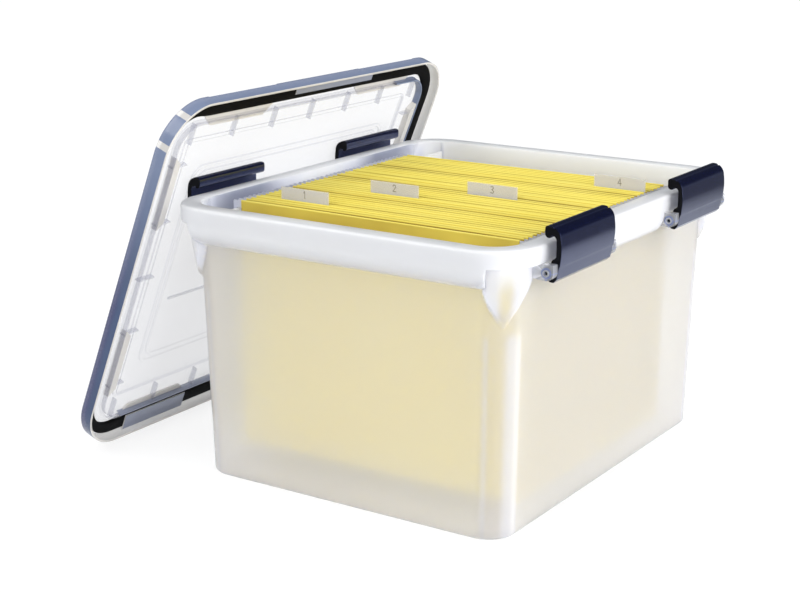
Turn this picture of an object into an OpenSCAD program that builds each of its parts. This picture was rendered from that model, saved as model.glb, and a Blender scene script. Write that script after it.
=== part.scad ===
// Portable file box: a clear-frosted moulded box with rails for letter-size
// hanging folders, four side latches on steel pins, and a gasketed lid that is
// taken off and leans against the left side. Millimetres, +Z up, the origin at
// the middle of the base on the floor, the long sides along Y.

/* [Box] */
// Outer width of the rim, left to right
rim_w = 376; // [370:1:390]
// Outer length of the rim, front to back
rim_l = 452; // [446:1:480]
// Height of the box without its lid
body_h = 265; // [262:1:280]
// Radius of the rim's outer corners
rim_r = 46; // [42:1:54]
// Width of the flat land on top of the rim
rim_land = 19; // [18:0.5:20]
// How far each wall leans in from the rim down to the base
wall_lean = 6.5; // [4:0.5:9]
// Thickness of the side walls
wall_t = 2.5; // [2:0.1:3]
// Thickness of the floor
floor_t = 3; // [2:0.1:4]
// Radius of the wall corners at the base
base_r = 28; // [22:1:32]
// Rounding where the walls meet the floor
foot_round = 4; // [2:0.5:6]

/* [Rim] */
// Thickness of the rim's own plastic
rim_t = 2.4; // [2:0.1:3]
// Depth of the straight skirt below the rim's top
skirt_h = 16; // [14:0.5:18]
// Full depth of the curved band under the rim
band_h = 36; // [32:1:40]
// How far the band curves in towards the wall at its lower edge
band_in = 15.2; // [14:0.2:15.6]
// How far the wall flares out at the corners, below the rim
flare_out = 9; // [6:0.5:11]
// Length of each flared corner, measured from the wall's face
flare_l = 32; // [28:1:36]
// Height at which the corner flare runs out into the wall
flare_low = 190; // [170:5:205]

/* [Folder rails] */
// Distance between the middles of the two rails
rail_gap = 307; // [305:0.5:309]
// Thickness of a rail's upstanding rib
rail_t = 2.4; // [2:0.1:3]
// Depth of the rail's top below the rim
rail_drop = 9.5; // [9:0.5:12]
// Shift of the two rails towards the right side
rail_shift = 8; // [6:0.5:8.5]
// Height of the rib above its ledge
rail_rise = 8; // [7:0.5:9]
// Thickness of the ledge that carries the rib
ledge_t = 3; // [2.5:0.1:4]
// Distance from the end of the rim to the end of a rail
rail_end = 30; // [28:1:36]

/* [Latches] */
// Length of a latch
latch_l = 100; // [92:1:102]
// Distance from the end of the rim to the middle of a latch
latch_in = 105; // [105:1:110]
// How far a latch's pin stands out from the rim's face
pin_out = 4.5; // [4.2:0.1:5.5]
// Depth of the pin's middle below the rim
pin_drop = 23; // [22.6:0.1:24]
// Diameter of the steel hinge pins
pin_d = 3.5; // [3:0.1:4]
// Clearance round a pin, on the radius
pin_fit = 0.05; // [0.03:0.01:0.08]
// Thickness of the lugs that hold a pin
lug_t = 8; // [7:0.5:10]
// Radius of a lug's round nose
lug_r = 6.5; // [6:0.1:7]
// Gap between a latch's end and its lug
latch_gap = 0.5; // [0.4:0.1:1]
// Depth of the pin's end inside its eyelet
pin_sunk = 1.5; // [1:0.1:2.5]
// Thickness of a latch's ribs and end plates
latch_rib = 6; // [5:0.5:8]

/* [Lid] */
// Gap between the rim and the lid's skirt
lid_fit = 1.6; // [1.2:0.1:2.4]
// Thickness of the lid's plastic
lid_t = 2.4; // [2:0.1:2.8]
// Depth of the gasket channel, from the skirt's edge to its ceiling
channel_h = 13; // [12:0.5:14]
// Height by which the middle panel stands above the channel's ceiling
panel_rise = 3.1; // [2.6:0.1:4]
// Distance from the lid's edge to the raised middle panel
panel_in = 46; // [44:1:50]
// Gap between the rim's inner edge and the lid's locating lip
lip_fit = 0.8; // [0.5:0.1:1.2]
// Depth of the lip's lower edge inside the lid
lip_rise = 6; // [5:0.5:8]
// Width of the foam gasket
gasket_w = 14; // [12:0.5:15]
// Thickness of the foam gasket before it is pressed
gasket_h = 4; // [3:0.5:5]
// Depth of the shallow landings that the latches hook onto
seat_drop = 0.8; // [0.5:0.1:1.2]
// Reach of the latch landings from the lid's edge
seat_in = 11; // [10:0.5:13]
// Thickness of the pad that stiffens the lid behind each landing
pad_t = 1.6; // [1:0.1:2]
// Lean of the lid against the box, measured from the floor
lid_lean = 68; // [67:0.5:69]
// Shift of the leaning lid towards the front
lid_shift = 7; // [5:1:8]
// Gap between the raised lines under the lid's panel and the closed latches
lid_rest_gap = 0.4; // [0.3:0.1:0.9]

/* [Folders] */
// Least length of rail left free behind the last folder
rail_free = 65; // [60:1:72]
// Spacing of the hanging folders along the rails
folder_pitch = 14.6; // [14:0.1:14.8]
// Depth of a folder's pocket, from leaf to leaf
pocket_w = 8.1; // [7.5:0.1:8.2]
// Width of a folder's card
card_w = 300; // [296:1:301]
// Shift of the cards along their rods, towards the right side
card_slip = 1.5; // [0:0.1:1.6]
// Thickness of a folder's card
card_t = 0.9; // [0.7:0.1:1]
// Height of the folders' lower fold above the floor
card_low = 26; // [20:1:34]
// Drop from the rim to the top edge of the folders
card_drop = 1; // [0.5:0.5:1.5]
// Gap between the front folder and the front wall, at the rim
front_gap = 41; // [38:0.5:44]
// Width of the papers in the folders
paper_w = 279; // [270:1:282]
// Height of the papers in the folders
paper_h = 216; // [210:1:218]
// Width of a label tab
tab_w = 55; // [50:1:56]
// Height of a tab above its folder
tab_rise = 11; // [9:0.5:11.5]
// Depth to which a tab is pushed behind the folder's edge
tab_grip = 8; // [6:0.5:9]

/* [Hidden] */

// Thin slices stand for the edges that a hull joins
sliver = 0.01;

// The wall's outer outline at the rim, and at any height below it
wall_w = rim_w - 2 * rim_land + 2 * wall_t;
wall_l = rim_l - 2 * rim_land + 2 * wall_t;
wall_r = rim_r - rim_land + wall_t;
function lean_at(z) = wall_lean * (1 - z / body_h);
function corner_at(z) = base_r + (wall_r - base_r) * z / body_h;

// Levels below the rim
skirt_low = body_h - skirt_h;
band_low = body_h - band_h;
flare_rise = 13;
flare_mid = skirt_low - flare_rise;
rail_top = body_h - rail_drop;
ledge_top = rail_top - rail_rise;
rail_l = rim_l - 2 * rail_end;

// The latches' pins and bays
pin_x = rim_w / 2 + pin_out;
pin_z = body_h - pin_drop;
bore_d = pin_d + 2 * pin_fit;
latch_y = rim_l / 2 - latch_in;
bay_half = latch_l / 2 + latch_gap;
lug_low = pin_z - lug_r;
lug_root = 4;
lug_chin = 1.5;
lug_brow = 1;
eyelet_w = 1.3;
eyelet_t = 1.2;
eyelet_out = 1;
pin_l = 2 * (bay_half + lug_t - pin_sunk);

// The latch's face, rounded shoulder, crest, nose and notch, measured from its pin
latch_face = [[2, -10], [5, -7], [7.7, 4.5], [9.3, 20]];
shoulder_c = [-2.5, 27.6];
shoulder_r = 11;
crest_c = [-4, 35.9];
crest_r = 2.6;
nose_c = [-3, 31.6];
nose_r = 3.6;
notch_c = [0.6, 26.6];
notch_r = 3.6;
notch_foot = [4.4, 20];

// The lid's outline and levels in its own frame, skirt edge down
lid_w = rim_w + 2 * (lid_fit + lid_t);
lid_l = rim_l + 2 * (lid_fit + lid_t);
lid_r = rim_r + lid_fit + lid_t;
channel_top = channel_h + lid_t;
panel_under = channel_h + panel_rise;
panel_top = panel_under + lid_t;
lip_d = lid_fit + lid_t + rim_land + lip_fit;
gasket_side = 1;
gasket_d = lid_fit + lid_t + gasket_side;
edge_round = 3;
seat_side = 2;
seat_l = latch_l + 2 * seat_side;
pad_gap = 0.5;
pad_reach = 5;
pad_slope = 12;
panel_r = 8;
valley_rib_h = 5;
valley_rib_t = 2;
valley_rib_step = 62;
frame_r = 14;
frame_side = 31;
frame_end = 23;
frame_step = 7;
frame_w = 2.4;
frame_h = 1.2;
cross_rib_x = -40;

// The leaning lid's lower edge on the floor, found from the latch it rests on
left_shoulder = [-(pin_x + shoulder_c[0]), pin_z + shoulder_c[1]];
lid_foot_x = left_shoulder[0]
    - (left_shoulder[1] * cos(lid_lean) + shoulder_r + lid_rest_gap + frame_h - panel_under) / sin(lid_lean);

// The folders: their first middle line, levels, and the label tabs
folder_y = -(wall_l / 2 - wall_t) + front_gap + card_t + pocket_w / 2;
card_top = body_h - card_drop;
card_x = rail_shift + card_slip;
front_lap = front_gap + rim_land - wall_t - rail_end;
section_folders = floor(
    (rail_l - front_lap - rail_free + folder_pitch - pocket_w - 2 * card_t) / (4 * folder_pitch));
strip_gap = 0.2;
rod_t = 0.9;
rod_h = 7;
rod_gap = 0.3;
rod_low = rail_top + rod_gap;
rod_tooth = 5;
rod_tooth_w = 3;
rod_fit = 0.8;
rod_reach = rail_gap / 2 + rail_t / 2 + rod_fit;
paper_slack = 0.6;
paper_t = pocket_w - 2 * rod_t - paper_slack;
tab_t = 1.4;
tab_skin = 0.6;
tab_seam = 0.8;
insert_t = 0.4;
insert_fit = 0.1;
insert_in = 0.5;
tab_folder = [2, 2, 0, 2];
tab_along = [53.5, 106, 187.5, 271.5];
tab_x = [for (along = tab_along) card_x + along - card_w / 2];

frosted = [0.93, 0.94, 0.95, 0.6];
clear = [0.86, 0.9, 0.95, 0.5];
latch_black = [0.07, 0.08, 0.14];
steel = [0.72, 0.74, 0.77];
foam_black = [0.04, 0.04, 0.05];
card_yellow = [0.93, 0.8, 0.22];
paper_white = [0.95, 0.95, 0.92];
tab_clear = [0.85, 0.83, 0.78, 0.7];

// Points along an arc, in the plane of an outline
function arc(c, r, from, to, steps) =
    [for (i = [0:steps]) let (a = from + (to - from) * i / steps) c + r * [cos(a), sin(a)]];

// A flat rectangle with round corners
module round_rect(w, l, r) {
    square([w - 2 * r, l], center = true);
    square([w, l - 2 * r], center = true);
    for (x = [-1, 1], y = [-1, 1])
        translate([x * (w / 2 - r), y * (l / 2 - r)]) circle(r, $fn = 48);
}

// One thin slice of the wall's outline at a height, drawn in by inset
module wall_slice(z, inset) {
    d = lean_at(z) + inset;
    translate([0, 0, z]) linear_extrude(sliver)
        round_rect(wall_w - 2 * d, wall_l - 2 * d, max(4, corner_at(z) - inset));
}

// A cross-section carried round a rounded rectangle. The section's x is
// measured from the corner's centre, so its outer face lies at x = r.
module ring(w, l, r) {
    for (side = [0:3]) {
        across = side % 2 == 0 ? w : l;
        along = side % 2 == 0 ? l : w;
        rotate([0, 0, 90 * side]) translate([across / 2 - r, along / 2 - r, 0]) {
            rotate([90, 0, 0]) linear_extrude(along - 2 * r) children();
            rotate_extrude(angle = 90, $fn = 96) children();
        }
    }
}

// The four corner zones, from the wall's straight faces outwards
module corner_zones(low, high, inset) {
    half_w = wall_w / 2 - flare_l + inset;
    half_l = wall_l / 2 - flare_l + inset;
    for (x = [0, 1], y = [0, 1])
        mirror([x, 0, 0]) mirror([0, y, 0])
            translate([half_w, half_l, low]) cube([rim_w / 2, rim_l / 2, high - low]);
}

// The solid inside the walls' outer face, and inside their inner face
module wall_block(inset, low) {
    hull() {
        wall_slice(low, inset + (low < foot_round ? foot_round : 0));
        wall_slice(low + foot_round, inset);
        wall_slice(body_h - sliver, inset);
    }
}

// The corner flare as a solid, drawn in by inset
module flare_block(inset, high) {
    intersection() {
        hull() {
            wall_slice(flare_low, inset);
            wall_slice(flare_mid, inset - flare_out);
            wall_slice(high - sliver, inset - flare_out);
        }
        corner_zones(flare_low, body_h, inset);
    }
}

// Cross-section of the rim: a flat land with a straight skirt outside
module rim_section() {
    translate([rim_r - rim_land, body_h - rim_t]) square([rim_land - edge_round, rim_t]);
    translate([rim_r - rim_t, skirt_low]) square([rim_t, skirt_h - edge_round]);
    translate([rim_r - edge_round, body_h - edge_round]) intersection() {
        difference() {
            circle(edge_round, $fn = 48);
            circle(edge_round - rim_t, $fn = 48);
        }
        square(edge_round);
    }
}

// Cross-section of the curved band below the skirt, x out from the wall side
module band_section() {
    drop = band_h - skirt_h;
    outer = [for (a = [0:15:90]) [band_in * cos(a) - band_in, -drop * sin(a)]];
    inner = [for (a = [90:-15:0]) [(band_in - rim_t) * cos(a) - band_in, -(drop - rim_t) * sin(a)]];
    translate([rim_w / 2, skirt_low]) polygon(concat(outer, inner));
}

// A straight run of band on the right side, from y0 to y1
module band_run(y0, y1) {
    translate([0, y1, 0]) rotate([90, 0, 0]) linear_extrude(y1 - y0) band_section();
}

// One lug on the right side: a round nose tied back to the wall
module lug_section() {
    back = wall_w / 2 - lug_root;
    translate([pin_x, pin_z]) circle(lug_r, $fn = 48);
    translate([back, lug_low + lug_chin]) square([pin_x - back, skirt_low - lug_low - lug_chin]);
    translate([pin_x - lug_brow, pin_z]) square([lug_r + lug_brow, skirt_low - pin_z]);
}

module lug_pair(y) {
    for (end = [-1, 1])
        translate([0, y + end * (bay_half + lug_t / 2) + lug_t / 2, 0])
            rotate([90, 0, 0]) linear_extrude(lug_t) lug_section();
}

// The raised eyelet ring round a pin hole, on a lug's outer face
module eyelet(y, end) {
    translate([pin_x, y + end * (bay_half + lug_t + eyelet_out - eyelet_t / 2), pin_z])
        rotate([90, 0, 0]) cylinder(d = bore_d + 2 * eyelet_w, h = eyelet_t, center = true, $fn = 48);
}

module pin_bore(y) {
    translate([pin_x, y, pin_z]) rotate([90, 0, 0])
        cylinder(d = bore_d, h = 2 * (bay_half + lug_t + 2), center = true, $fn = 48);
}

// One folder rail on the right: a ledge from the wall and an upstanding rib
module rail(shift) {
    inner = rail_gap / 2 - rail_t / 2 + shift;
    translate([inner, -rail_l / 2, ledge_top - ledge_t])
        cube([wall_w / 2 - lean_at(ledge_top) - wall_t / 2 - inner, rail_l, ledge_t]);
    translate([inner, -rail_l / 2, ledge_top - ledge_t])
        cube([rail_t, rail_l, rail_rise + ledge_t]);
}

// The moulded box: floor, leaning walls, flared corners, rim, rails and lugs
module body() color(frosted) {
    inner_lug = latch_y - bay_half - lug_t;
    difference() {
        union() {
            difference() {
                union() {
                    wall_block(0, 0);
                    flare_block(0, skirt_low);
                    ring(rim_w, rim_l, rim_r) rim_section();
                }
                translate([0, 0, floor_t]) wall_hollow();
                flare_block(wall_t, skirt_low - rim_t);
            }
            for (side = [0, 1]) mirror([side, 0, 0]) {
                rail(side == 0 ? rail_shift : -rail_shift);
                band_run(-inner_lug, inner_lug);
                for (y = [-latch_y, latch_y]) {
                    lug_pair(y);
                    for (end = [-1, 1]) eyelet(y, end);
                }
            }
            for (turn = [90, 270]) rotate([0, 0, turn])
                translate([rim_l / 2 - rim_w / 2, 0, 0])
                    band_run(-(wall_w / 2 - flare_l), wall_w / 2 - flare_l);
        }
        for (side = [0, 1], y = [-latch_y, latch_y]) mirror([side, 0, 0]) pin_bore(y);
    }
}

// The hollow of the box, open at the top
module wall_hollow() {
    hull() {
        wall_slice(0, wall_t + foot_round);
        wall_slice(foot_round, wall_t);
        wall_slice(body_h, wall_t);
    }
}

// Full outline of a latch about its pin, nose up and face outwards
module latch_outline(heel) {
    polygon(concat(
        latch_face,
        arc(shoulder_c, shoulder_r, 0, 98, 12),
        arc(crest_c, crest_r, 98, 180, 5),
        arc(nose_c, nose_r, 180, 295, 8),
        arc(notch_c, notch_r, 125, 0, 7),
        [notch_foot],
        heel));
}

// The heel is solid round the pin at the ends, and only a skin between them
solid_heel = [[2.8, 10.5], [0.1, 10], [-0.2, 5.2], [-4, 4.8], [-4.3, -2], [-2, -9.5]];
skin_heel = [[4.2, 10], [4.4, 4], [2.6, -6], [1.4, -9]];

module latch_at(y) {
    module slab(y0, y1) translate([0, y1, 0]) rotate([90, 0, 0]) linear_extrude(y1 - y0) children();
    half = latch_l / 2;
    color(latch_black) translate([pin_x, y, pin_z]) difference() {
        union() {
            slab(-half, half) latch_outline(skin_heel);
            slab(-half, -half + latch_rib) latch_outline(solid_heel);
            slab(-latch_rib / 2, latch_rib / 2) latch_outline(solid_heel);
            slab(half - latch_rib, half) latch_outline(solid_heel);
        }
        rotate([90, 0, 0]) cylinder(d = bore_d, h = latch_l + 2, center = true, $fn = 48);
    }
}

module latch_right_front() latch_at(-latch_y);
module latch_right_rear() latch_at(latch_y);
module latch_left_front() mirror([1, 0, 0]) latch_at(-latch_y);
module latch_left_rear() mirror([1, 0, 0]) latch_at(latch_y);

module pin_at(y) {
    color(steel) translate([pin_x, y, pin_z]) rotate([90, 0, 0])
        cylinder(d = pin_d, h = pin_l, center = true, $fn = 48);
}

module pin_right_front() pin_at(-latch_y);
module pin_right_rear() pin_at(latch_y);
module pin_left_front() mirror([1, 0, 0]) pin_at(-latch_y);
module pin_left_rear() mirror([1, 0, 0]) pin_at(latch_y);

// Cross-section of the lid's edge: skirt, channel ceiling, lip and valley floor
module lid_section() {
    translate([lid_r - lid_t, 0]) square([lid_t, channel_top - edge_round]);
    translate([lid_r - edge_round, channel_top - edge_round]) intersection() {
        difference() {
            circle(edge_round, $fn = 48);
            circle(edge_round - lid_t, $fn = 48);
        }
        square(edge_round);
    }
    translate([lid_r - panel_in, channel_h]) square([panel_in - edge_round, lid_t]);
    translate([lid_r - lip_d - lid_t, lip_rise]) square([lid_t, channel_top - lip_rise]);
    translate([lid_r - panel_in - lid_t, channel_h]) square([lid_t, panel_top - channel_h]);
}

// A thin raised line, as a rectangle on the panel's underside
module panel_frame(side, end) {
    w = lid_w - 2 * (panel_in + side);
    l = lid_l - 2 * (panel_in + end);
    translate([0, 0, panel_under - frame_h]) linear_extrude(frame_h + lid_t / 2) difference() {
        round_rect(w, l, frame_r);
        round_rect(w - 2 * frame_w, l - 2 * frame_w, frame_r - frame_w);
    }
}

// The stiffening pad behind a latch landing, wide at the lid's edge
module seat_pad(y) {
    out = lid_w / 2 - gasket_d - gasket_w - pad_gap;
    inner = lid_w / 2 - lip_d - lid_t - pad_reach;
    half = seat_l / 2;
    translate([0, 0, channel_h - pad_t]) linear_extrude(pad_t + lid_t / 2)
        polygon([
            [out, y - half], [out, y + half],
            [inner, y + half - pad_slope], [inner, y - half + pad_slope]
        ]);
}

// A low rib across the framed middle of the panel
module cross_rib() {
    half = lid_l / 2 - panel_in - frame_end - frame_w / 2;
    translate([cross_rib_x - frame_w / 2, -half, panel_under - frame_h])
        cube([frame_w, 2 * half, frame_h + lid_t / 2]);
}

// Short ribs across the valley between the lip and the raised panel
module valley_ribs() {
    from = lip_d + lid_t / 2;
    reach = panel_in - from + lid_t / 2;
    low = channel_h - valley_rib_h;
    for (x = [0, 1]) mirror([x, 0, 0]) for (i = [-3:3])
        translate([lid_w / 2 - from - reach, i * valley_rib_step - valley_rib_t / 2, low])
            cube([reach, valley_rib_t, valley_rib_h + lid_t / 2]);
    for (y = [0, 1]) mirror([0, y, 0]) for (i = [-2:2])
        translate([i * valley_rib_step - valley_rib_t / 2, lid_l / 2 - from - reach, low])
            cube([valley_rib_t, reach, valley_rib_h + lid_t / 2]);
}

// The lid in its own frame, as it lies on the box
module lid_flat() {
    seat_floor = channel_top - seat_drop;
    difference() {
        union() {
            ring(lid_w, lid_l, lid_r) lid_section();
            translate([0, 0, panel_under]) linear_extrude(lid_t)
                round_rect(lid_w - 2 * panel_in, lid_l - 2 * panel_in, panel_r);
            panel_frame(frame_side, frame_end);
            panel_frame(frame_side + frame_step, frame_end + frame_step);
            cross_rib();
            valley_ribs();
            for (x = [0, 1], y = [-latch_y, latch_y]) mirror([x, 0, 0]) seat_pad(y);
        }
        for (x = [0, 1], y = [-latch_y, latch_y]) mirror([x, 0, 0])
            translate([lid_w / 2 - seat_in, y - seat_l / 2, seat_floor])
                cube([seat_in + 1, seat_l, seat_drop + 1]);
    }
}

// From the lid's own frame to where it leans, its lower edge on the floor
module leaning() {
    translate([lid_foot_x, -lid_shift, 0]) rotate([0, -lid_lean, 0])
        translate([lid_w / 2, 0, 0]) children();
}

module lid() color(clear) leaning() lid_flat();

// The foam strip in the lid's channel
module lid_gasket() color(foam_black) leaning()
    ring(lid_w - 2 * gasket_d, lid_l - 2 * gasket_d, lid_r - gasket_d)
        translate([lid_r - gasket_d - gasket_w, channel_h - gasket_h]) square([gasket_w, gasket_h]);

// Middle line of folder i in section s, both counted from the front
function folder_at(s, i) = folder_y + folder_pitch * (s * section_folders + i);

// The card of one folder: two leaves and the strip along the lower fold
module folder_card(y) {
    for (side = [-1, 1])
        translate([card_x - card_w / 2, y + side * (pocket_w + card_t) / 2 - card_t / 2, card_low])
            cube([card_w, card_t, card_top - card_low]);
    translate([card_x - card_w / 2, y - pocket_w / 2 + strip_gap, card_low])
        cube([card_w, pocket_w - 2 * strip_gap, card_t]);
}

// One flat steel rod with a hook at each end, drawn across the box
module rod_outline() {
    end = rod_reach + rod_tooth_w;
    polygon([
        [-end, rod_low + rod_h], [-end, rod_low - rod_tooth], [-rod_reach, rod_low - rod_tooth],
        [-rod_reach, rod_low], [rod_reach, rod_low], [rod_reach, rod_low - rod_tooth],
        [end, rod_low - rod_tooth], [end, rod_low + rod_h]
    ]);
}

module folder_rods(y) {
    for (side = [-1, 1])
        translate([rail_shift, y + side * (pocket_w - rod_t) / 2 + rod_t / 2, 0])
            rotate([90, 0, 0]) linear_extrude(rod_t) rod_outline();
}

module section_cards(s) color(card_yellow)
    for (i = [0:section_folders - 1]) folder_card(folder_at(s, i));
module section_rods(s) color(steel)
    for (i = [0:section_folders - 1]) folder_rods(folder_at(s, i));
module section_papers(s) color(paper_white)
    for (i = [0:section_folders - 1])
        translate([card_x - paper_w / 2, folder_at(s, i) - paper_t / 2, card_low + card_t + strip_gap])
            cube([paper_w, paper_t, paper_h]);

// Face of the leaf that carries section s's tab
function tab_y(s) = folder_at(s, tab_folder[s]) - (pocket_w / 2 + card_t + tab_t / 2);

// A clear sleeve held against the folder's top edge
module section_tab(s) color(tab_clear) translate([tab_x[s], tab_y(s), card_top]) difference() {
    translate([-tab_w / 2, -tab_t / 2, -tab_grip]) cube([tab_w, tab_t, tab_grip + tab_rise]);
    translate([-tab_w / 2 - 1, -insert_t / 2 - insert_fit, tab_seam])
        cube([tab_w + 2, insert_t + 2 * insert_fit, tab_rise - tab_seam - tab_skin]);
}

module section_tab_card(s) color(paper_white) translate([tab_x[s], tab_y(s), card_top])
    translate([-tab_w / 2 + insert_in, -insert_t / 2, tab_seam + insert_fit])
        cube([tab_w - 2 * insert_in, insert_t, tab_rise - tab_seam - tab_skin - 2 * insert_fit]);

module folders_1() section_cards(0);
module folders_2() section_cards(1);
module folders_3() section_cards(2);
module folders_4() section_cards(3);
module rods_1() section_rods(0);
module rods_2() section_rods(1);
module rods_3() section_rods(2);
module rods_4() section_rods(3);
module papers_1() section_papers(0);
module papers_2() section_papers(1);
module papers_3() section_papers(2);
module papers_4() section_papers(3);
module tab_1() section_tab(0);
module tab_2() section_tab(1);
module tab_3() section_tab(2);
module tab_4() section_tab(3);
module tab_card_1() section_tab_card(0);
module tab_card_2() section_tab_card(1);
module tab_card_3() section_tab_card(2);
module tab_card_4() section_tab_card(3);

body();
lid();
lid_gasket();
latch_right_front();
latch_right_rear();
latch_left_front();
latch_left_rear();
pin_right_front();
pin_right_rear();
pin_left_front();
pin_left_rear();
folders_1();
folders_2();
folders_3();
folders_4();
rods_1();
rods_2();
rods_3();
rods_4();
papers_1();
papers_2();
papers_3();
papers_4();
tab_1();
tab_2();
tab_3();
tab_4();
tab_card_1();
tab_card_2();
tab_card_3();
tab_card_4();
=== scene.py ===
import bmesh
import bpy
import math
import random
from mathutils import Matrix, Vector


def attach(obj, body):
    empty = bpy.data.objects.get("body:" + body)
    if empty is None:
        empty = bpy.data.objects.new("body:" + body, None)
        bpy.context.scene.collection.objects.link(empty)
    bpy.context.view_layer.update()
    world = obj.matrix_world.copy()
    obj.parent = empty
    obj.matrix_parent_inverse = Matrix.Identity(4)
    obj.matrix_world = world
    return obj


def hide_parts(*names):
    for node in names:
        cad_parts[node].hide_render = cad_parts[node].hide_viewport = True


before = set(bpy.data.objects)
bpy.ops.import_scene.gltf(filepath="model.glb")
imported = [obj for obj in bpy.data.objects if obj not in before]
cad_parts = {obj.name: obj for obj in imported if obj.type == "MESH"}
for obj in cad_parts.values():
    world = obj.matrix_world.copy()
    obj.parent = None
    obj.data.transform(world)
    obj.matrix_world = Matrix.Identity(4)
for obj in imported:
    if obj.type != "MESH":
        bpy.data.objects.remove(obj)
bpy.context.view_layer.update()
random.seed(7)

# ---------------------------------------------------------------- camera
# The photograph was taken from the front right, a little above the rim, with
# a long lens that keeps the box's uprights nearly upright.
MM = 0.001
PHOTO_LENS_MM = 74.76
eye = Vector((0.82634, -1.35965, 0.58228))
right = Vector((0.83457544, 0.55089367, 0.0))
up = Vector((-0.1435159, 0.21741917, 0.96546988))
towards = right.cross(up)

lens = bpy.data.cameras.new("studio_lens")
lens.lens = PHOTO_LENS_MM
lens.sensor_width = 36.0
lens.sensor_fit = "HORIZONTAL"
lens.clip_start = 0.05
lens.clip_end = 60.0
camera = bpy.data.objects.new("studio_camera", lens)
camera.matrix_world = Matrix.Translation(eye) @ Matrix((right, up, towards)).transposed().to_4x4()
bpy.context.scene.collection.objects.link(camera)
bpy.context.scene.camera = camera

# ---------------------------------------------------------------- box body
# One injection moulding in clear polypropylene with a fine frost: a floor,
# four walls that lean out towards the top, tulip-shaped flares at the corners,
# and a thick rolled rim with a curved band below it.
RIM_HALF_W, RIM_HALF_L, RIM_R = 188.0, 226.0, 46.0
BODY_H, RIM_LAND, RIM_T = 265.0, 19.0, 2.4
WALL_HALF_W, WALL_HALF_L, WALL_R, WALL_T = 171.5, 209.5, 29.5, 2.5
WALL_LEAN, BASE_R, FOOT_R, FLOOR_T = 6.5, 28.0, 4.0, 3.0
SKIRT_LOW, BAND_LOW, BAND_IN, BAND_T = 249.6, 229.0, 15.2, 2.3
FLARE_OUT, FLARE_LOW, FLARE_TOP = 9.0, 179.0, 238.0
FLARE_END, FLARE_SIDE, FLARE_SOFT = 22.5, 34.0, 1.5
BAND_HALF_W, BAND_HALF_L = 158.0, 61.7
PIN_X, PIN_Z, BORE_R = 192.5, 242.0, 1.8
LATCH_Y, LATCH_HALF, LATCH_GAP = 121.0, 50.0, 0.5
LUG_T, LUG_R, LUG_ROOT, LUG_BROW = 8.0, 6.5, -24, 7.2
EYELET_R, BOSS_R, BOSS_REACH = 3.1, 4.9, 7.2
ARC_STEPS, HEM_STEPS = 36, 12
HEM_HALF, HEM_DROP = 1.2, 0.6
NEAR_CORNER = (0.8, 2.4, 4, 5.6, 7.2, 9.6, 14)


def rounded_loop(half_w, half_l, r, marks_x=(), marks_y=(), full=None):
    """Points round a rounded rectangle, anticlockwise from the right side; marks add points on
    the straights. full gives the straights' half lengths (x, y) for which the marks are true, and
    a smaller loop draws them in."""
    if full:
        marks_x = [m * (half_w - r - 15) / (full[0] - 15) for m in marks_x]
        marks_y = [m * (half_l - r - 15) / (full[1] - 15) for m in marks_y]
    points = []
    for turn in range(4):
        across, along = (half_w, half_l) if turn % 2 == 0 else (half_l, half_w)
        straight = along - r
        marks = list(marks_y if turn % 2 == 0 else marks_x) + [straight - m for m in NEAR_CORNER]
        for m in [-m for m in sorted(marks, reverse=True)] + sorted(marks):
            points.append((across, m, turn))
        for i in range(ARC_STEPS + 1):
            a = math.pi / 2 * i / ARC_STEPS
            points.append((across - r + r * math.cos(a), along - r + r * math.sin(a), turn))
    quarter = [(1, 0), (0, 1), (-1, 0), (0, -1)]
    return [(x * quarter[t][0] - y * quarter[t][1], x * quarter[t][1] + y * quarter[t][0])
            for x, y, t in points]


def ease(value, low, high):
    """A smooth step from 0 at low to 1 at high."""
    t = min(1.0, max(0.0, (value - low) / (high - low)))
    return t * t * (3 - 2 * t)


def new_piece(name, mesh, body):
    """Puts a finished mesh into the scene as a named piece on a CAD body."""
    piece = bpy.data.objects.new(name, mesh)
    bpy.context.scene.collection.objects.link(piece)
    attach(piece, body)
    return piece


def stack_loops(form, loops, closed=False):
    """Skins a row of equal point loops; the ends are capped, or joined to each other where closed."""
    rings = [[form.verts.new(Vector(p) * MM) for p in loop] for loop in loops]
    pairs = list(zip(rings, rings[1:])) + ([(rings[-1], rings[0])] if closed else [])
    for a, b in pairs:
        for i in range(len(a)):
            j = (i + 1) % len(a)
            form.faces.new((a[i], a[j], b[j], b[i]))
    if not closed:
        form.faces.new(list(reversed(rings[0])))
        form.faces.new(rings[-1])


def finish_mesh(name, form, sharp_deg=32.0):
    """Turns a form into a smooth-shaded mesh whose edges stay crisp above an angle."""
    bmesh.ops.recalc_face_normals(form, faces=form.faces)
    mesh = bpy.data.meshes.new(name)
    form.to_mesh(mesh)
    form.free()
    mesh.polygons.foreach_set("use_smooth", [True] * len(mesh.polygons))
    mesh.set_sharp_from_angle(angle=math.radians(sharp_deg))
    return mesh


def ease_edges(piece, width_mm, segments=3, angle_deg=35.0):
    """A small moulded radius on a piece's edges."""
    bevel = piece.modifiers.new("moulded_radius", "BEVEL")
    bevel.width = width_mm * MM
    bevel.segments = segments
    bevel.limit_method = "ANGLE"
    bevel.angle_limit = math.radians(angle_deg)
    bevel.harden_normals = True
    return bevel


WALL_MARKS_X = (20, 60, 100)
WALL_MARKS_Y = (20, 61.4, 62.0, 100, 140)


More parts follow.
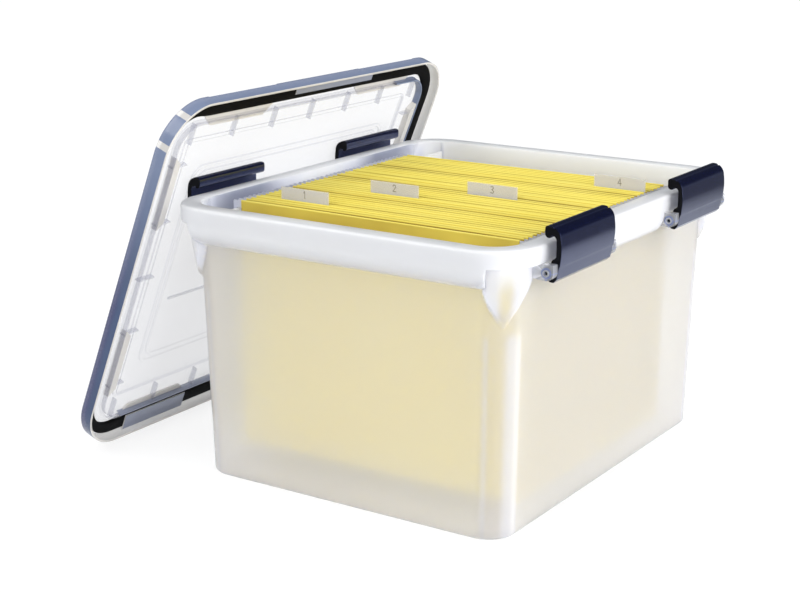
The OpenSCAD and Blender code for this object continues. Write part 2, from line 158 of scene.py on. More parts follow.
def flare(x, y, z, inset):
    """How far the corner is pushed out at a point: a tulip that narrows as it runs down into the wall."""
    run = min(1.0, max(0.0, (z - FLARE_LOW) / (FLARE_TOP - FLARE_LOW)))
    side = 4 + (FLARE_SIDE - 4) * run - inset
    end = 5 + (FLARE_END - 5) * ease(z, FLARE_LOW, FLARE_TOP - 8) - inset
    in_x = ease(abs(x), WALL_HALF_W - end - FLARE_SOFT, WALL_HALF_W - end + FLARE_SOFT)
    in_y = ease(abs(y), WALL_HALF_L - side - FLARE_SOFT, WALL_HALF_L - side + FLARE_SOFT)
    return FLARE_OUT * run * (1.6 - 0.6 * run) * in_x * in_y


def wall_loop(z, inset, flare_inset=0.0):
    """The wall's outline at a height, with the corner flares worked in."""
    lean = WALL_LEAN * (1 - z / BODY_H) + inset
    r = max(6.0, BASE_R + (WALL_R - BASE_R) * z / BODY_H - inset)
    loop = []
    for x, y in rounded_loop(WALL_HALF_W - lean, WALL_HALF_L - lean, r, WALL_MARKS_X, WALL_MARKS_Y):
        push = flare(x, y, z, flare_inset)
        centre = Vector((math.copysign(WALL_HALF_W - lean - r, x), math.copysign(WALL_HALF_L - lean - r, y)))
        away = Vector((x, y)) - centre
        if abs(x) < abs(centre.x):
            away.x = 0
        if abs(y) < abs(centre.y):
            away.y = 0
        away.normalize()
        loop.append((x + away.x * push, y + away.y * push, z))
    return loop


def rim_loop(half_w, half_l, r, z):
    return [(x, y, z) for x, y in rounded_loop(half_w, half_l, r, WALL_MARKS_X, WALL_MARKS_Y)]


def rim_inset(d, z):
    return rim_loop(RIM_HALF_W - d, RIM_HALF_L - d, RIM_R - d, z)


def hem_loop(plain, band):
    """The rim's lower edge: the curved band along the straights, a plain edge elsewhere; each is (d, z)."""
    loop = []
    for rim, short, long in zip(rim_inset(0, 0), rim_inset(*plain), rim_inset(*band)):
        at_end = abs(rim[0]) < BAND_HALF_W and abs(rim[1]) > RIM_HALF_L - RIM_R
        loop.append(long if at_end or abs(rim[1]) < BAND_HALF_L else short)
    return loop


box_form = bmesh.new()
levels = [FOOT_R + (FLARE_LOW - 7 - FOOT_R) * i / 6 for i in range(7)]
levels += [FLARE_LOW - 3 + 2.0 * i for i in range(34)]
outside = [wall_loop(FOOT_R - FOOT_R * math.sin(a), FOOT_R - FOOT_R * math.cos(a))
           for a in [math.pi / 2 * (1 - i / 5) for i in range(5)]]
outside += [wall_loop(z, 0.0) for z in levels]
outside += [wall_loop(SKIRT_LOW - 3, 0.0), wall_loop(SKIRT_LOW - 0.8, 0.0),
            rim_inset(RIM_T + 5, SKIRT_LOW + 1.4)]
outside += [rim_inset(RIM_T + 5, BODY_H - RIM_T - 1), rim_inset(RIM_T, BODY_H - RIM_T - 1),
            rim_inset(RIM_T, SKIRT_LOW + 0.8)]
for i in range(HEM_STEPS + 1):
    a = math.pi / 2 * i / HEM_STEPS
    outside.append(hem_loop((RIM_T - HEM_HALF * i / HEM_STEPS, SKIRT_LOW - HEM_DROP * math.sin(a)),
                            (BAND_IN - (BAND_IN - RIM_T) * math.cos(a),
                             SKIRT_LOW - (SKIRT_LOW - BAND_LOW - BAND_T) * math.sin(a))))
for i in range(HEM_STEPS, -1, -1):
    a = math.pi / 2 * i / HEM_STEPS
    outside.append(hem_loop((HEM_HALF * i / HEM_STEPS, SKIRT_LOW - HEM_DROP * math.sin(a)),
                            (BAND_IN - BAND_IN * math.cos(a),
                             SKIRT_LOW - (SKIRT_LOW - BAND_LOW) * math.sin(a))))
outside += [rim_inset(0, BODY_H - 3)]
outside += [rim_inset(3 - 3 * math.cos(a), BODY_H - 3 + 3 * math.sin(a))
            for a in [math.pi / 8 * i for i in range(1, 5)]]
outside += [rim_inset(RIM_LAND - 1.2, BODY_H)]
outside += [rim_inset(RIM_LAND - 0.4, BODY_H - 0.4), rim_inset(RIM_LAND, BODY_H - 1.2)]
inside = [wall_loop(z, WALL_T, 1.5) for z in reversed(levels)]
inside += [wall_loop(FLOOR_T + FOOT_R - FOOT_R * math.sin(a), WALL_T + FOOT_R - FOOT_R * math.cos(a))
           for a in [math.pi / 2 * i / 5 for i in range(1, 6)]]
stack_loops(box_form, outside + inside)


# The latch lugs: four pairs of plates with a round nose, a pin hole and a raised eyelet.
def star_outline(corners, steps=56):
    """Distances from the origin to a polygon, by angle."""
    found = []
    for i in range(steps):
        a = 2 * math.pi * i / steps
        ray = Vector((math.cos(a), math.sin(a)))
        best = 0.0
        for p, q in zip(corners, corners[1:] + corners[:1]):
            edge = Vector(q) - Vector(p)
            cross = ray.x * edge.y - ray.y * edge.x
            if abs(cross) < 1e-9:
                continue
            far = (p[0] * edge.y - p[1] * edge.x) / cross
            part = (p[0] * ray.y - p[1] * ray.x) / cross
            if far > 0 and -1e-6 <= part <= 1 + 1e-6:
                best = max(best, far)
        found.append((best * ray.x, best * ray.y))
    return found


def bored_plate(form, corners, y0, y1, place):
    """A plate between y0 and y1 whose outline goes round the pin's bore."""
    outline = star_outline(corners)
    turns = [2 * math.pi * i / len(outline) for i in range(len(outline))]
    bore = [(BORE_R * math.cos(a), BORE_R * math.sin(a)) for a in turns]
    rings = ((bore, y0), (outline, y0), (outline, y1), (bore, y1))
    stack_loops(form, [[place(x, y, z) for x, z in ring] for ring, y in rings], closed=True)


def pin_place(side):
    """Places a point that is measured from a pin's middle, on one long side."""
    return lambda x, y, z: (side * (PIN_X + x), y, PIN_Z + z)


def arc_points(cx, cz, r, start, end, steps):
    """Points along an arc in a section, in degrees."""
    return [(cx + r * math.cos(math.radians(start + (end - start) * i / steps)),
             cz + r * math.sin(math.radians(start + (end - start) * i / steps))) for i in range(steps + 1)]


plain_faces = len(box_form.faces)
lug_outline = arc_points(0, 0, LUG_R, 0, -90, 10)
lug_outline += [(LUG_ROOT, -5), (LUG_ROOT, LUG_BROW), (LUG_R, LUG_BROW)]
boss_outline = arc_points(0, 0, BOSS_R, 0, 350, 35)
eyelet_outline = arc_points(0, 0, EYELET_R, 0, 350, 35)
lugs = [(side, latch_y, end) for side in (-1, 1) for latch_y in (-LATCH_Y, LATCH_Y) for end in (-1, 1)]
for side, latch_y, end in lugs:
    near = latch_y + end * (LATCH_HALF + LATCH_GAP)
    far = near + end * LUG_T
    bored_plate(box_form, lug_outline, near, far, pin_place(side))
    bored_plate(box_form, boss_outline, far - end * 0.2, far + end * 0.12, pin_place(side))
box_form.faces.ensure_lookup_table()
CLEAR_LUG, DARK_BOSS = 1, 2
for face in box_form.faces[plain_faces:]:
    off_pin = max(abs(abs(v.co.x / MM) - PIN_X) + abs(v.co.z / MM - PIN_Z) for v in face.verts)
    face.material_index = CLEAR_LUG if off_pin > BOSS_REACH else DARK_BOSS
for side, latch_y, end in lugs:
    far = latch_y + end * (LATCH_HALF + LATCH_GAP + LUG_T)
    bored_plate(box_form, eyelet_outline, far - end * 0.3, far + end * 1.0, pin_place(side))

# The folder rails: a ledge moulded along each long wall with an upstanding rib.
RAIL_HALF, RAIL_X, RAIL_SHIFT, RAIL_TOP = 196.0, 153.5, 8.0, 255.5
RAIL_T, RAIL_ROUND, LEDGE_X, LEDGE_LOW, LEDGE_TOP = 2.4, 0.6, 169.5, RAIL_TOP - 11, RAIL_TOP - 8
for side in (-1, 1):
    inner = RAIL_X + side * RAIL_SHIFT - RAIL_T / 2
    rail_section = [(inner, LEDGE_LOW), (LEDGE_X, LEDGE_LOW), (LEDGE_X, LEDGE_TOP),
                    (inner + RAIL_T, LEDGE_TOP), (inner + RAIL_T, RAIL_TOP - RAIL_ROUND),
                    (inner + 1.8, RAIL_TOP), (inner + RAIL_ROUND, RAIL_TOP), (inner, RAIL_TOP - RAIL_ROUND)]
    stack_loops(box_form, [[(side * x, y, z) for x, z in rail_section] for y in (-RAIL_HALF, 0, RAIL_HALF)])

# How thick each corner web reads, and where shade is painted on the wall: behind
# each dark latch and down the round of each corner column, kept on the mesh's
# points for the frosted finish.
box_mesh = finish_mesh("box_body", box_form)
web = box_mesh.attributes.new("corner_web", "FLOAT", "POINT")
shade = box_mesh.attributes.new("painted_latch_and_corner_shade", "FLOAT", "POINT")
for vertex in box_mesh.vertices:
    x, y, z = (abs(vertex.co.x / MM), abs(vertex.co.y / MM), vertex.co.z / MM)
    webbed, shaded = web.data[vertex.index], shade.data[vertex.index]
    r = BASE_R + (WALL_R - BASE_R) * z / BODY_H
    lean = WALL_LEAN * (1 - z / BODY_H)
    over_x, over_y = x - WALL_HALF_W + lean + r, y - WALL_HALF_L + lean + r
    turn = math.degrees(math.atan2(max(0.0, over_y), max(0.001, over_x)))
    if FLARE_LOW < z < SKIRT_LOW and x < RIM_HALF_W - 6 and y < RIM_HALF_L - 6:
        on_web = min(1.0, flare(x, y, z, 0.0) / (0.5 + 2 * ease(z, FLARE_LOW, FLARE_TOP)))
        webbed.value = on_web * max(ease(turn, 44, 58), 1 - ease(turn, 22, 38))
    if z < FLARE_TOP and over_x > 0 and over_y > -0.5:
        column = max(1 - ease(turn, 24, 44), 0.7 * ease(turn, 62, 68) * (1 - ease(turn, 70, 80)))
        webbed.value = max(webbed.value, 0.6 * column * (1 - ease(z, FLARE_LOW, FLARE_LOW + 12)))
        # Painted shade down the round of each corner column, fading out up the flare.
        round_column = ease(turn, 6, 20) * (1 - ease(turn, 70, 86))
        shaded.value = 0.17 * round_column * (1 - ease(z, FLARE_LOW, FLARE_TOP))
    # Painted shade on the inner rim wall where a dark latch stands behind it.
    if z > 236 and x < RIM_HALF_W - RIM_LAND + 1 and y < 185:
        shaded.value = 0.8 * (1 - ease(abs(y - LATCH_Y), 30, 75))
box_piece = new_piece("box_body", box_mesh, "box")
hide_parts("body")


def from_hex(code, alpha=1.0):
    """An sRGB hex colour as linear red, green, blue and alpha."""
    parts = [int(code[i:i + 2], 16) / 255 for i in (1, 3, 5)]
    return [c / 12.92 if c <= 0.04045 else ((c + 0.055) / 1.055) ** 2.4 for c in parts] + [alpha]


def add_node(tree, kind, sockets=None, **settings):
    """Adds a node; a socket in sockets is linked, and any other value is set."""
    node = tree.nodes.new(kind)
    for key, value in settings.items():
        setattr(node, key, value)
    for key, value in (sockets or {}).items():
        if isinstance(value, bpy.types.NodeSocket):
            tree.links.new(value, node.inputs[key])
        else:
            node.inputs[key].default_value = value
    return node


def start_finish(name):
    """A new material with only an output, and its node tree."""
    finish = bpy.data.materials.new(name)
    finish.use_nodes = True
    finish.node_tree.nodes.clear()
    return finish, finish.node_tree


def cells_per_metre(size_mm):
    """A pattern's scale from its real size; object coordinates are in metres."""
    return round(1000 / size_mm, 1)


# Frosted clear polypropylene, moulded in a finely blasted tool: light passes
# through it but shapes behind blur, and the thick rim reads as milky white.
# The lugs are polished clearer, so the dark latch heels show through them.
# The blast's own grains are too fine to show and are drawn about 1.1 mm wide.
def moulded_frost(name, wall_clear, rim_clear, rough):
    """A frosted finish: how see-through the wall and the rim are, and how much the frost blurs."""
    finish, tree = start_finish(name)
    coords = add_node(tree, "ShaderNodeTexCoord")
    split = add_node(tree, "ShaderNodeSeparateXYZ", {"Vector": coords.outputs["Object"]})
    grain = add_node(tree, "ShaderNodeTexNoise", {
        "Vector": coords.outputs["Object"], "Scale": cells_per_metre(1.1111), "Detail": 2.0})
    cloud = add_node(tree, "ShaderNodeTexNoise", {
        "Vector": coords.outputs["Object"], "Scale": cells_per_metre(71.43), "Detail": 3.0})
    sheer = add_node(tree, "ShaderNodeMapRange", {
        "Value": split.outputs["Z"], "From Min": 0.225, "From Max": 0.246, "To Min": wall_clear,
        "To Max": rim_clear}, interpolation_type="SMOOTHSTEP")
    through = add_node(tree, "ShaderNodeMapRange", {
        "Value": split.outputs["Z"], "From Min": 0.225, "From Max": 0.24, "To Min": 0.85,
        "To Max": 1.0}, interpolation_type="SMOOTHSTEP")
    web = add_node(tree, "ShaderNodeAttribute", attribute_name="corner_web")
    thick = add_node(tree, "ShaderNodeMapRange", {"Value": web.outputs["Fac"], "To Min": 1.0, "To Max": 0.12})
    solid = add_node(tree, "ShaderNodeMapRange", {"Value": web.outputs["Fac"], "To Min": 0.0, "To Max": 0.15})
    clear_part = add_node(tree, "ShaderNodeMath", {
        0: sheer.outputs[0], 1: thick.outputs[0]}, operation="MULTIPLY")
    covers = add_node(tree, "ShaderNodeMath", {
        0: through.outputs[0], 1: solid.outputs[0]}, operation="ADD", use_clamp=True)
    high = add_node(tree, "ShaderNodeMapRange", {
        "Value": split.outputs["Z"], "From Min": 0.225, "From Max": 0.24})
    plain = add_node(tree, "ShaderNodeMixRGB", {
        "Fac": high.outputs[0], "Color1": from_hex("#FAF6F3"), "Color2": from_hex("#F4F6FC")})
    tone = add_node(tree, "ShaderNodeMixRGB", {
        "Fac": web.outputs["Fac"], "Color1": plain.outputs["Color"], "Color2": from_hex("#DCDEE9")})
    # Painted shade: blue-grey where a dark latch stands behind the wall and down each corner column.
    painted_shade_map = add_node(tree, "ShaderNodeAttribute", attribute_name="painted_latch_and_corner_shade")
    darkened = add_node(tree, "ShaderNodeMixRGB", {
        "Fac": painted_shade_map.outputs["Fac"], "Color1": tone.outputs["Color"], "Color2": from_hex("#6E7590")})
    haze = add_node(tree, "ShaderNodeMapRange", {
        "Value": cloud.outputs["Fac"], "From Min": 0.3, "From Max": 0.7, "To Min": rough,
        "To Max": rough + 0.05})
    bump = add_node(tree, "ShaderNodeBump", {
        "Height": grain.outputs["Fac"], "Strength": 0.06, "Distance": 0.0004})
    shader = add_node(tree, "ShaderNodeBsdfPrincipled", {
        "Base Color": darkened.outputs["Color"], "Roughness": haze.outputs["Result"], "IOR": 1.3,
        "Transmission Weight": clear_part.outputs[0], "Alpha": covers.outputs[0], "Subsurface Weight": 1.0,
        "Subsurface Scale": 0.012, "Subsurface Radius": (1.0, 1.0, 1.0), "Coat Weight": 0.5,
        "Coat Roughness": 0.12, "Normal": bump.outputs["Normal"]})
    rays = add_node(tree, "ShaderNodeLightPath")
    let_in = add_node(tree, "ShaderNodeBsdfTransparent", {"Color": from_hex("#EDEDEE")})
    lit = add_node(tree, "ShaderNodeMixShader", {
        0: rays.outputs["Is Shadow Ray"], 1: shader.outputs[0], 2: let_in.outputs[0]})
    add_node(tree, "ShaderNodeOutputMaterial", {"Surface": lit.outputs[0]})
    return finish


box_piece.data.materials.append(moulded_frost("frosted_polypropylene", 0.6, 0.14, 0.285))
box_piece.data.materials.append(moulded_frost("clear_polypropylene_lug", 0.8, 0.8, 0.18))

# The clear boss round each eyelet is painted blue-grey, a painted shade for the dark latch behind it.
boss, tree = start_finish("polypropylene_boss_painted_shade")
coords = add_node(tree, "ShaderNodeTexCoord")
veil = add_node(tree, "ShaderNodeTexNoise", {
    "Vector": coords.outputs["Object"], "Scale": cells_per_metre(3.333), "Detail": 2.0})
tone = add_node(tree, "ShaderNodeMixRGB", {
    "Fac": veil.outputs["Fac"], "Color1": from_hex("#5D6A90"), "Color2": from_hex("#8792B2")})
shader = add_node(tree, "ShaderNodeBsdfPrincipled", {
    "Base Color": tone.outputs["Color"], "Roughness": 0.25, "IOR": 1.45, "Alpha": 0.85})
add_node(tree, "ShaderNodeOutputMaterial", {"Surface": shader.outputs["BSDF"]})
box_piece.data.materials.append(boss)

# ---------------------------------------------------------------- hinge pins
# Four blackened steel pins, one through each pair of lugs; only their dark
# ends show, sunk in the eyelets. The pattern runs once over a pin's length, so
# its marks come 0.38 mm apart; across the ends they are too fine to show.
PIN_L = 114.0
steel, tree = start_finish("blackened_steel_wire")
streaks = add_node(tree, "ShaderNodeTexNoise", {"Scale": round(PIN_L / 0.38, 1), "Detail": 4.0})
shine = add_node(tree, "ShaderNodeMapRange", {"Value": streaks.outputs["Fac"], "To Min": 0.28, "To Max": 0.5})
shader = add_node(tree, "ShaderNodeBsdfPrincipled", {
    "Base Color": from_hex("#15161A"), "Metallic": 1.0, "Roughness": shine.outputs["Result"]})
add_node(tree, "ShaderNodeOutputMaterial", {"Surface": shader.outputs["BSDF"]})
for name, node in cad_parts.items():
    if name.startswith("pin_"):
        node.data.materials.clear()
        node.data.materials.append(steel)

# ---------------------------------------------------------------- latches
# Each latch is one thick moulding in glossy blue-black plastic: a tall flat
# face, a rolled shoulder with a hooked lip, and a bored heel on the pin.
SHOULDER_R, GROOVE_DEPTH, HEEL_T, HEEL_GAP = 11, 0.9, 6, 0.02
latch_face = [(2, -10), (5, -7), (6.2, -2), (6.9, 2.4), (7.2, 3.6), (7.9, 4.2), (8.15, 5.4), (8.6, 8.6),
              (9.05, 13), (9.28, 17), (9.3, 20), (9.1, 23.5)]
shoulder = arc_points(-2.5, 27.6, SHOULDER_R, 0, 98, 28)[1:]
groove = arc_points(-2.5, 27.6, SHOULDER_R - GROOVE_DEPTH, 0, 98, 28)[1:]
latch_face += shoulder[:17] + groove[17:19] + shoulder[19:]
latch_face += arc_points(-4, 35.9, 2.6, 98, 180, 8)[1:]
latch_face += arc_points(-3, 31.6, 3.6, 180, 295, 12)[1:] + arc_points(0.6, 26.6, 3.6, 125, 0, 12)
latch_face += [(4.4, 20), (4.2, 10), (4.4, 4), (2.6, -6), (1.4, -9)]
heel = [(2, -9.9), (4.9, -7), (7.4, 4.5), (7.9, 12), (4.6, 13), (2.8, 10.5), (0.1, 10), (-0.2, 5.2),
        (-4, 4.8), (-4.3, -2), (-2, -9.5)]

# Blue-black ABS from a polished tool: nearly black, with long blue-white
# reflections that ripple a little where the plastic sank.
gloss, tree = start_finish("glossy_abs_latch")
coords = add_node(tree, "ShaderNodeTexCoord")
smear = add_node(tree, "ShaderNodeTexNoise", {
    "Vector": coords.outputs["Object"], "Scale": cells_per_metre(16.67), "Detail": 5.0})
wear = add_node(tree, "ShaderNodeMapRange", {
    "Value": smear.outputs["Fac"], "From Min": 0.35, "From Max": 0.75, "To Min": 0.16, "To Max": 0.27})
ripple = add_node(tree, "ShaderNodeTexNoise", {
    "Vector": coords.outputs["Object"], "Scale": cells_per_metre(28.57), "Detail": 1.0})
bump = add_node(tree, "ShaderNodeBump", {
    "Height": ripple.outputs["Fac"], "Strength": 0.08, "Distance": 0.002})
shader = add_node(tree, "ShaderNodeBsdfPrincipled", {
    "Base Color": from_hex("#060924"), "Roughness": wear.outputs["Result"], "IOR": 1.95,
    "Specular Tint": from_hex("#8FA8FF"), "Coat Weight": 0.5, "Coat Roughness": 0.08,
    "Normal": bump.outputs["Normal"]})
add_node(tree, "ShaderNodeOutputMaterial", {"Surface": shader.outputs["BSDF"]})

# The ends of the latches come out of the mould unpolished and read as black.
matt_end, tree = start_finish("matt_abs_latch_end")
coords = add_node(tree, "ShaderNodeTexCoord")
pits = add_node(tree, "ShaderNodeTexNoise", {
    "Vector": coords.outputs["Object"], "Scale": cells_per_metre(2), "Detail": 3.0})
bump = add_node(tree, "ShaderNodeBump", {"Height": pits.outputs["Fac"], "Strength": 0.15, "Distance": 0.0003})
shader = add_node(tree, "ShaderNodeBsdfPrincipled", {
    "Base Color": from_hex("#08090F"), "Roughness": 0.6, "IOR": 1.35, "Specular IOR Level": 0.25,
    "Normal": bump.outputs["Normal"]})
add_node(tree, "ShaderNodeOutputMaterial", {"Surface": shader.outputs["BSDF"]})

for side, side_name in ((1, "right"), (-1, "left")):
    for latch_y, end_name in ((-LATCH_Y, "front"), (LATCH_Y, "rear")):
        node_name = f"latch_{side_name}_{end_name}"
        form = bmesh.new()
        at_pin = pin_place(side)
        stack_loops(form, [[at_pin(x, y, z) for x, z in latch_face]
                           for y in (latch_y - LATCH_HALF, latch_y, latch_y + LATCH_HALF)])
        for y0 in (-LATCH_HALF, -HEEL_T / 2, LATCH_HALF - HEEL_T):
            bored_plate(form, heel, latch_y + y0 + HEEL_GAP, latch_y + y0 + HEEL_T - HEEL_GAP, at_pin)
        latch = new_piece(f"{node_name}_moulding", finish_mesh(node_name, form, 24.0),
                          node_name)
        ease_edges(latch, 0.7, angle_deg=50.0)
        latch.data.materials.append(gloss)
        latch.data.materials.append(matt_end)
        for face in latch.data.polygons:
            face.material_index = 1 if abs(face.normal.y) > 0.9 else 0
        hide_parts(node_name)

# ---------------------------------------------------------------- lid
# A clear moulded lid, leaning on the left latches with its underside towards
# the box: skirt, gasket channel, locating lip, ribbed valley and raised panel.
LID_HALF_W, LID_HALF_L, LID_R = 192.0, 230.0, 50.0
LID_FOOT_X, LID_SHIFT, LID_LEAN = -295.15, -7.0, 68.0
SEAT_DROP, SEAT_HALF = 0.8, 52
RIB_PITCH, RIB_OUT, RIB_IN, RIB_LOW, VALLEY = 62, 25.5, 47, 8, 13.6
STRIP_LOW, STRIP_TOP, SKIRT_IN = 7.7, 8.7, 2.2
PANEL_MIDDLE = (130, 160, 12)
lid_pose = (Matrix.Translation((LID_FOOT_X, LID_SHIFT, 0)) @ Matrix.Rotation(math.radians(-LID_LEAN), 4, "Y")
            @ Matrix.Translation((LID_HALF_W, 0, 0)))
LID_MARKS_Y = (20, 45, LATCH_Y - 52.5, LATCH_Y - 51.5, 95, LATCH_Y, 145)
LID_MARKS_X = (20, 60, 100)


def lid_point(x, y, z):
    return tuple(lid_pose @ Vector((x, y, z)))


def lid_loop(d, z, seat=False):
    """A loop round the lid, d in from its edge; seat sinks the loop where the latches land."""
    loop = []
    for x, y in rounded_loop(LID_HALF_W - d, LID_HALF_L - d, max(3.0, LID_R - d), LID_MARKS_X, LID_MARKS_Y,
                             (LID_HALF_W - LID_R, LID_HALF_L - LID_R)):
        sink = SEAT_DROP if seat and abs(abs(y) - LATCH_Y) < SEAT_HALF and abs(x) > 150 else 0.0
        loop.append(lid_point(x, y, z - sink))
    return loop


def panel_loop(side, end, r, z):
    return [lid_point(x, y, z) for x, y in
            rounded_loop(LID_HALF_W - side, LID_HALF_L - end, r, LID_MARKS_X, LID_MARKS_Y,
                         (LID_HALF_W - LID_R, LID_HALF_L - LID_R))]


lid_form = bmesh.new()
lid_loops = []
for step in (1, 0):
    side, end = 46 + 31 + 7 * step, 46 + 23 + 7 * step
    lid_loops += [panel_loop(side + 4.2, end + 4.2, 12, 16.1), panel_loop(side + 3, end + 3, 13, 14.9),
                  panel_loop(side + 1.2, end + 1.2, 14, 14.9), panel_loop(side, end, 15, 16.1)]
lid_loops = [panel_loop(*PANEL_MIDDLE, 16.1)] + lid_loops
underside = [(50, 16.1), (48.8, 15.6), (48.2, 14.4), (47.4, 13), (27, 13), (26.2, 12.2), (26.2, 6.8),
             (25.6, 6), (24.4, 6), (23.8, 6.8), (23.8, 12.4), (23.2, 13), (3.2, 13), (2.4, 12.2),
             (2.4, 0.6), (1.8, 0), (0.6, 0), (0, 0.6), (0, 12.4)]
lid_loops += [lid_loop(d, z) for d, z in underside]
lid_loops += [lid_loop(3 - 3 * math.cos(a), 12.4 + 3 * math.sin(a), seat=True)
              for a in [math.pi / 8 * i for i in range(1, 5)]]
lid_loops += [lid_loop(10.5, 15.4, seat=True)]
lid_loops += [lid_loop(d, z) for d, z in [(11.5, 15.4), (45, 15.4), (45.8, 15.8), (46, 17.7), (46.8, 18.5)]]
lid_loops += [panel_loop(*PANEL_MIDDLE, 18.5)]
stack_loops(lid_form, lid_loops)


def lid_block(corners_low, corners_high):
    """A small moulded rib or pad on the lid's underside, from its lower and upper outline."""
    stack_loops(lid_form, [[lid_point(*p) for p in corners_low], [lid_point(*p) for p in corners_high]])


def rib_box(x0, x1, y0, y1, z0, z1, draft=0.25):
    """A straight rib or strip, a little narrower at its free edge."""
    low = [(x0 + draft, y0 + draft), (x1 - draft, y0 + draft),
           (x1 - draft, y1 - draft), (x0 + draft, y1 - draft)]
    high = [(x0, y0), (x1, y0), (x1, y1), (x0, y1)]
    lid_block([(x, y, z0) for x, y in low], [(x, y, z1) for x, y in high])


pad_faces = []


def thick_pad(outline, low):
    """A pad that stands on the valley floor; its faces are kept for the milky finish."""
    pads_from = len(lid_form.faces)
    lid_block([(x, y, low) for x, y in outline], [(x, y, VALLEY) for x, y in outline])
    pad_faces.extend(range(pads_from, len(lid_form.faces)))


for side in (-1, 1):
    for i in range(-3, 4):
        ends = sorted((side * (LID_HALF_W - RIB_OUT), side * (LID_HALF_W - RIB_IN)))
        rib_box(*ends, i * RIB_PITCH - 1, i * RIB_PITCH + 1, RIB_LOW, VALLEY)
    for i in range(-2, 3):
        ends = sorted((side * (LID_HALF_L - RIB_OUT), side * (LID_HALF_L - RIB_IN)))
        rib_box(i * RIB_PITCH - 1, i * RIB_PITCH + 1, *ends, RIB_LOW, VALLEY)
    for y in (-LATCH_Y, LATCH_Y):
        out, inner = side * (LID_HALF_W - 19.5), side * (LID_HALF_W - 31.2)
        thick_pad([(out, y - SEAT_HALF), (out, y + SEAT_HALF), (inner, y + 40), (inner, y - 40)], 11.4)
for end in (-1, 1):
    for x in (-96, 96):
        out, inner = end * (LID_HALF_L - 26.5), end * (LID_HALF_L - 34.5)
        thick_pad([(x - 39, out), (x + 39, out), (x + 32, inner), (x - 32, inner)], 6.6)
rib_box(-41.2, -38.8, -140, 140, 14.9, 16.6)

# Strips of the same plastic that lap over the foam and hold it in its channel.
strips_from = len(lid_form.faces)
rib_box(LID_HALF_W - 13.5, LID_HALF_W - SKIRT_IN, -40, 92, STRIP_LOW, STRIP_TOP)
for side in (-1, 1):
    ends = sorted((side * 71, side * 163))
    rib_box(-LID_HALF_W + SKIRT_IN, -LID_HALF_W + 19.6, *ends, STRIP_LOW, STRIP_TOP)
strip_faces = range(strips_from, len(lid_form.faces))

lid_piece = new_piece("lid_moulding", finish_mesh("lid_moulding", lid_form, 38.0), "lid")
even = lid_piece.modifiers.new("even_sheen", "WEIGHTED_NORMAL")
even.keep_sharp = True
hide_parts("lid")

# Clear polypropylene with a polished surface: the flat sheet is nearly
# invisible on white, and its steps and ribs are painted as thin cool-grey lines
# that stand in for their reflections. Pads are thick enough to read as milky,
# and what covers the foam is painted slate, a painted shade for the dark foam
# behind it.
def clear_finish(name, tint, alpha, rough, top_alpha=None):
    """A clear finish of one tint that lets most of the light straight through, more so at the top."""
    finish, tree = start_finish(name)
    coords = add_node(tree, "ShaderNodeTexCoord")
    flow = add_node(tree, "ShaderNodeTexNoise", {
        "Vector": coords.outputs["Object"], "Scale": cells_per_metre(45.45), "Detail": 3.0})
    polish = add_node(tree, "ShaderNodeMapRange", {
        "Value": flow.outputs["Fac"], "From Min": 0.3, "From Max": 0.7, "To Min": rough,
        "To Max": rough + 0.08})
    bump = add_node(tree, "ShaderNodeBump", {
        "Height": flow.outputs["Fac"], "Strength": 0.1, "Distance": 0.002})
    shader = add_node(tree, "ShaderNodeBsdfPrincipled", {
        "Base Color": from_hex(tint), "Roughness": polish.outputs["Result"], "IOR": 1.49, "Alpha": alpha,
        "Normal": bump.outputs["Normal"]})
    if top_alpha is not None:
        split = add_node(tree, "ShaderNodeSeparateXYZ", {"Vector": coords.outputs["Object"]})
        thin = add_node(tree, "ShaderNodeMapRange", {
            "Value": split.outputs["Z"], "From Min": 0.18, "From Max": 0.3, "To Min": alpha,
            "To Max": top_alpha})
        tree.links.new(thin.outputs["Result"], shader.inputs["Alpha"])
    add_node(tree, "ShaderNodeOutputMaterial", {"Surface": shader.outputs["BSDF"]})
    return finish


lid_piece.data.materials.append(clear_finish("polished_clear_polypropylene", "#E2E3E8", 0.26, 0.14, 0.12))

# The deep edge is painted slate blue, a painted shade for the dark foam seen
# through the clear plastic: bluer at its lip, speckled violet at its crown, and
# lighter towards the top of the leaning lid.
edge, tree = start_finish("clear_polypropylene_edge_painted_shade")
coords = add_node(tree, "ShaderNodeTexCoord")
split = add_node(tree, "ShaderNodeSeparateXYZ", {"Vector": coords.outputs["Object"]})
crown_way = (-math.sin(math.radians(LID_LEAN)), 0.0, math.cos(math.radians(LID_LEAN)))
lip_at = crown_way[0] * LID_FOOT_X * MM
across = add_node(tree, "ShaderNodeVectorMath", {
    0: coords.outputs["Object"], 1: crown_way}, operation="DOT_PRODUCT")
crown = add_node(tree, "ShaderNodeMapRange", {
    "Value": across.outputs["Value"], "From Min": lip_at + 0.005, "From Max": lip_at + 0.010})
speckle = add_node(tree, "ShaderNodeTexNoise", {
    "Vector": coords.outputs["Object"], "Scale": cells_per_metre(1.4286), "Detail": 2.0})
drift_map = add_node(tree, "ShaderNodeTexNoise", {
    "Vector": coords.outputs["Object"], "Scale": cells_per_metre(62.5), "Detail": 2.0})
blue = add_node(tree, "ShaderNodeMixRGB", {
    "Fac": drift_map.outputs["Fac"], "Color1": from_hex("#2B3955"), "Color2": from_hex("#54678D")})
violet = add_node(tree, "ShaderNodeMixRGB", {
    "Fac": speckle.outputs["Fac"], "Color1": from_hex("#2B2E50"), "Color2": from_hex("#595E86")})
banded = add_node(tree, "ShaderNodeMixRGB", {
    "Fac": crown.outputs["Result"], "Color1": blue.outputs["Color"], "Color2": violet.outputs["Color"]})
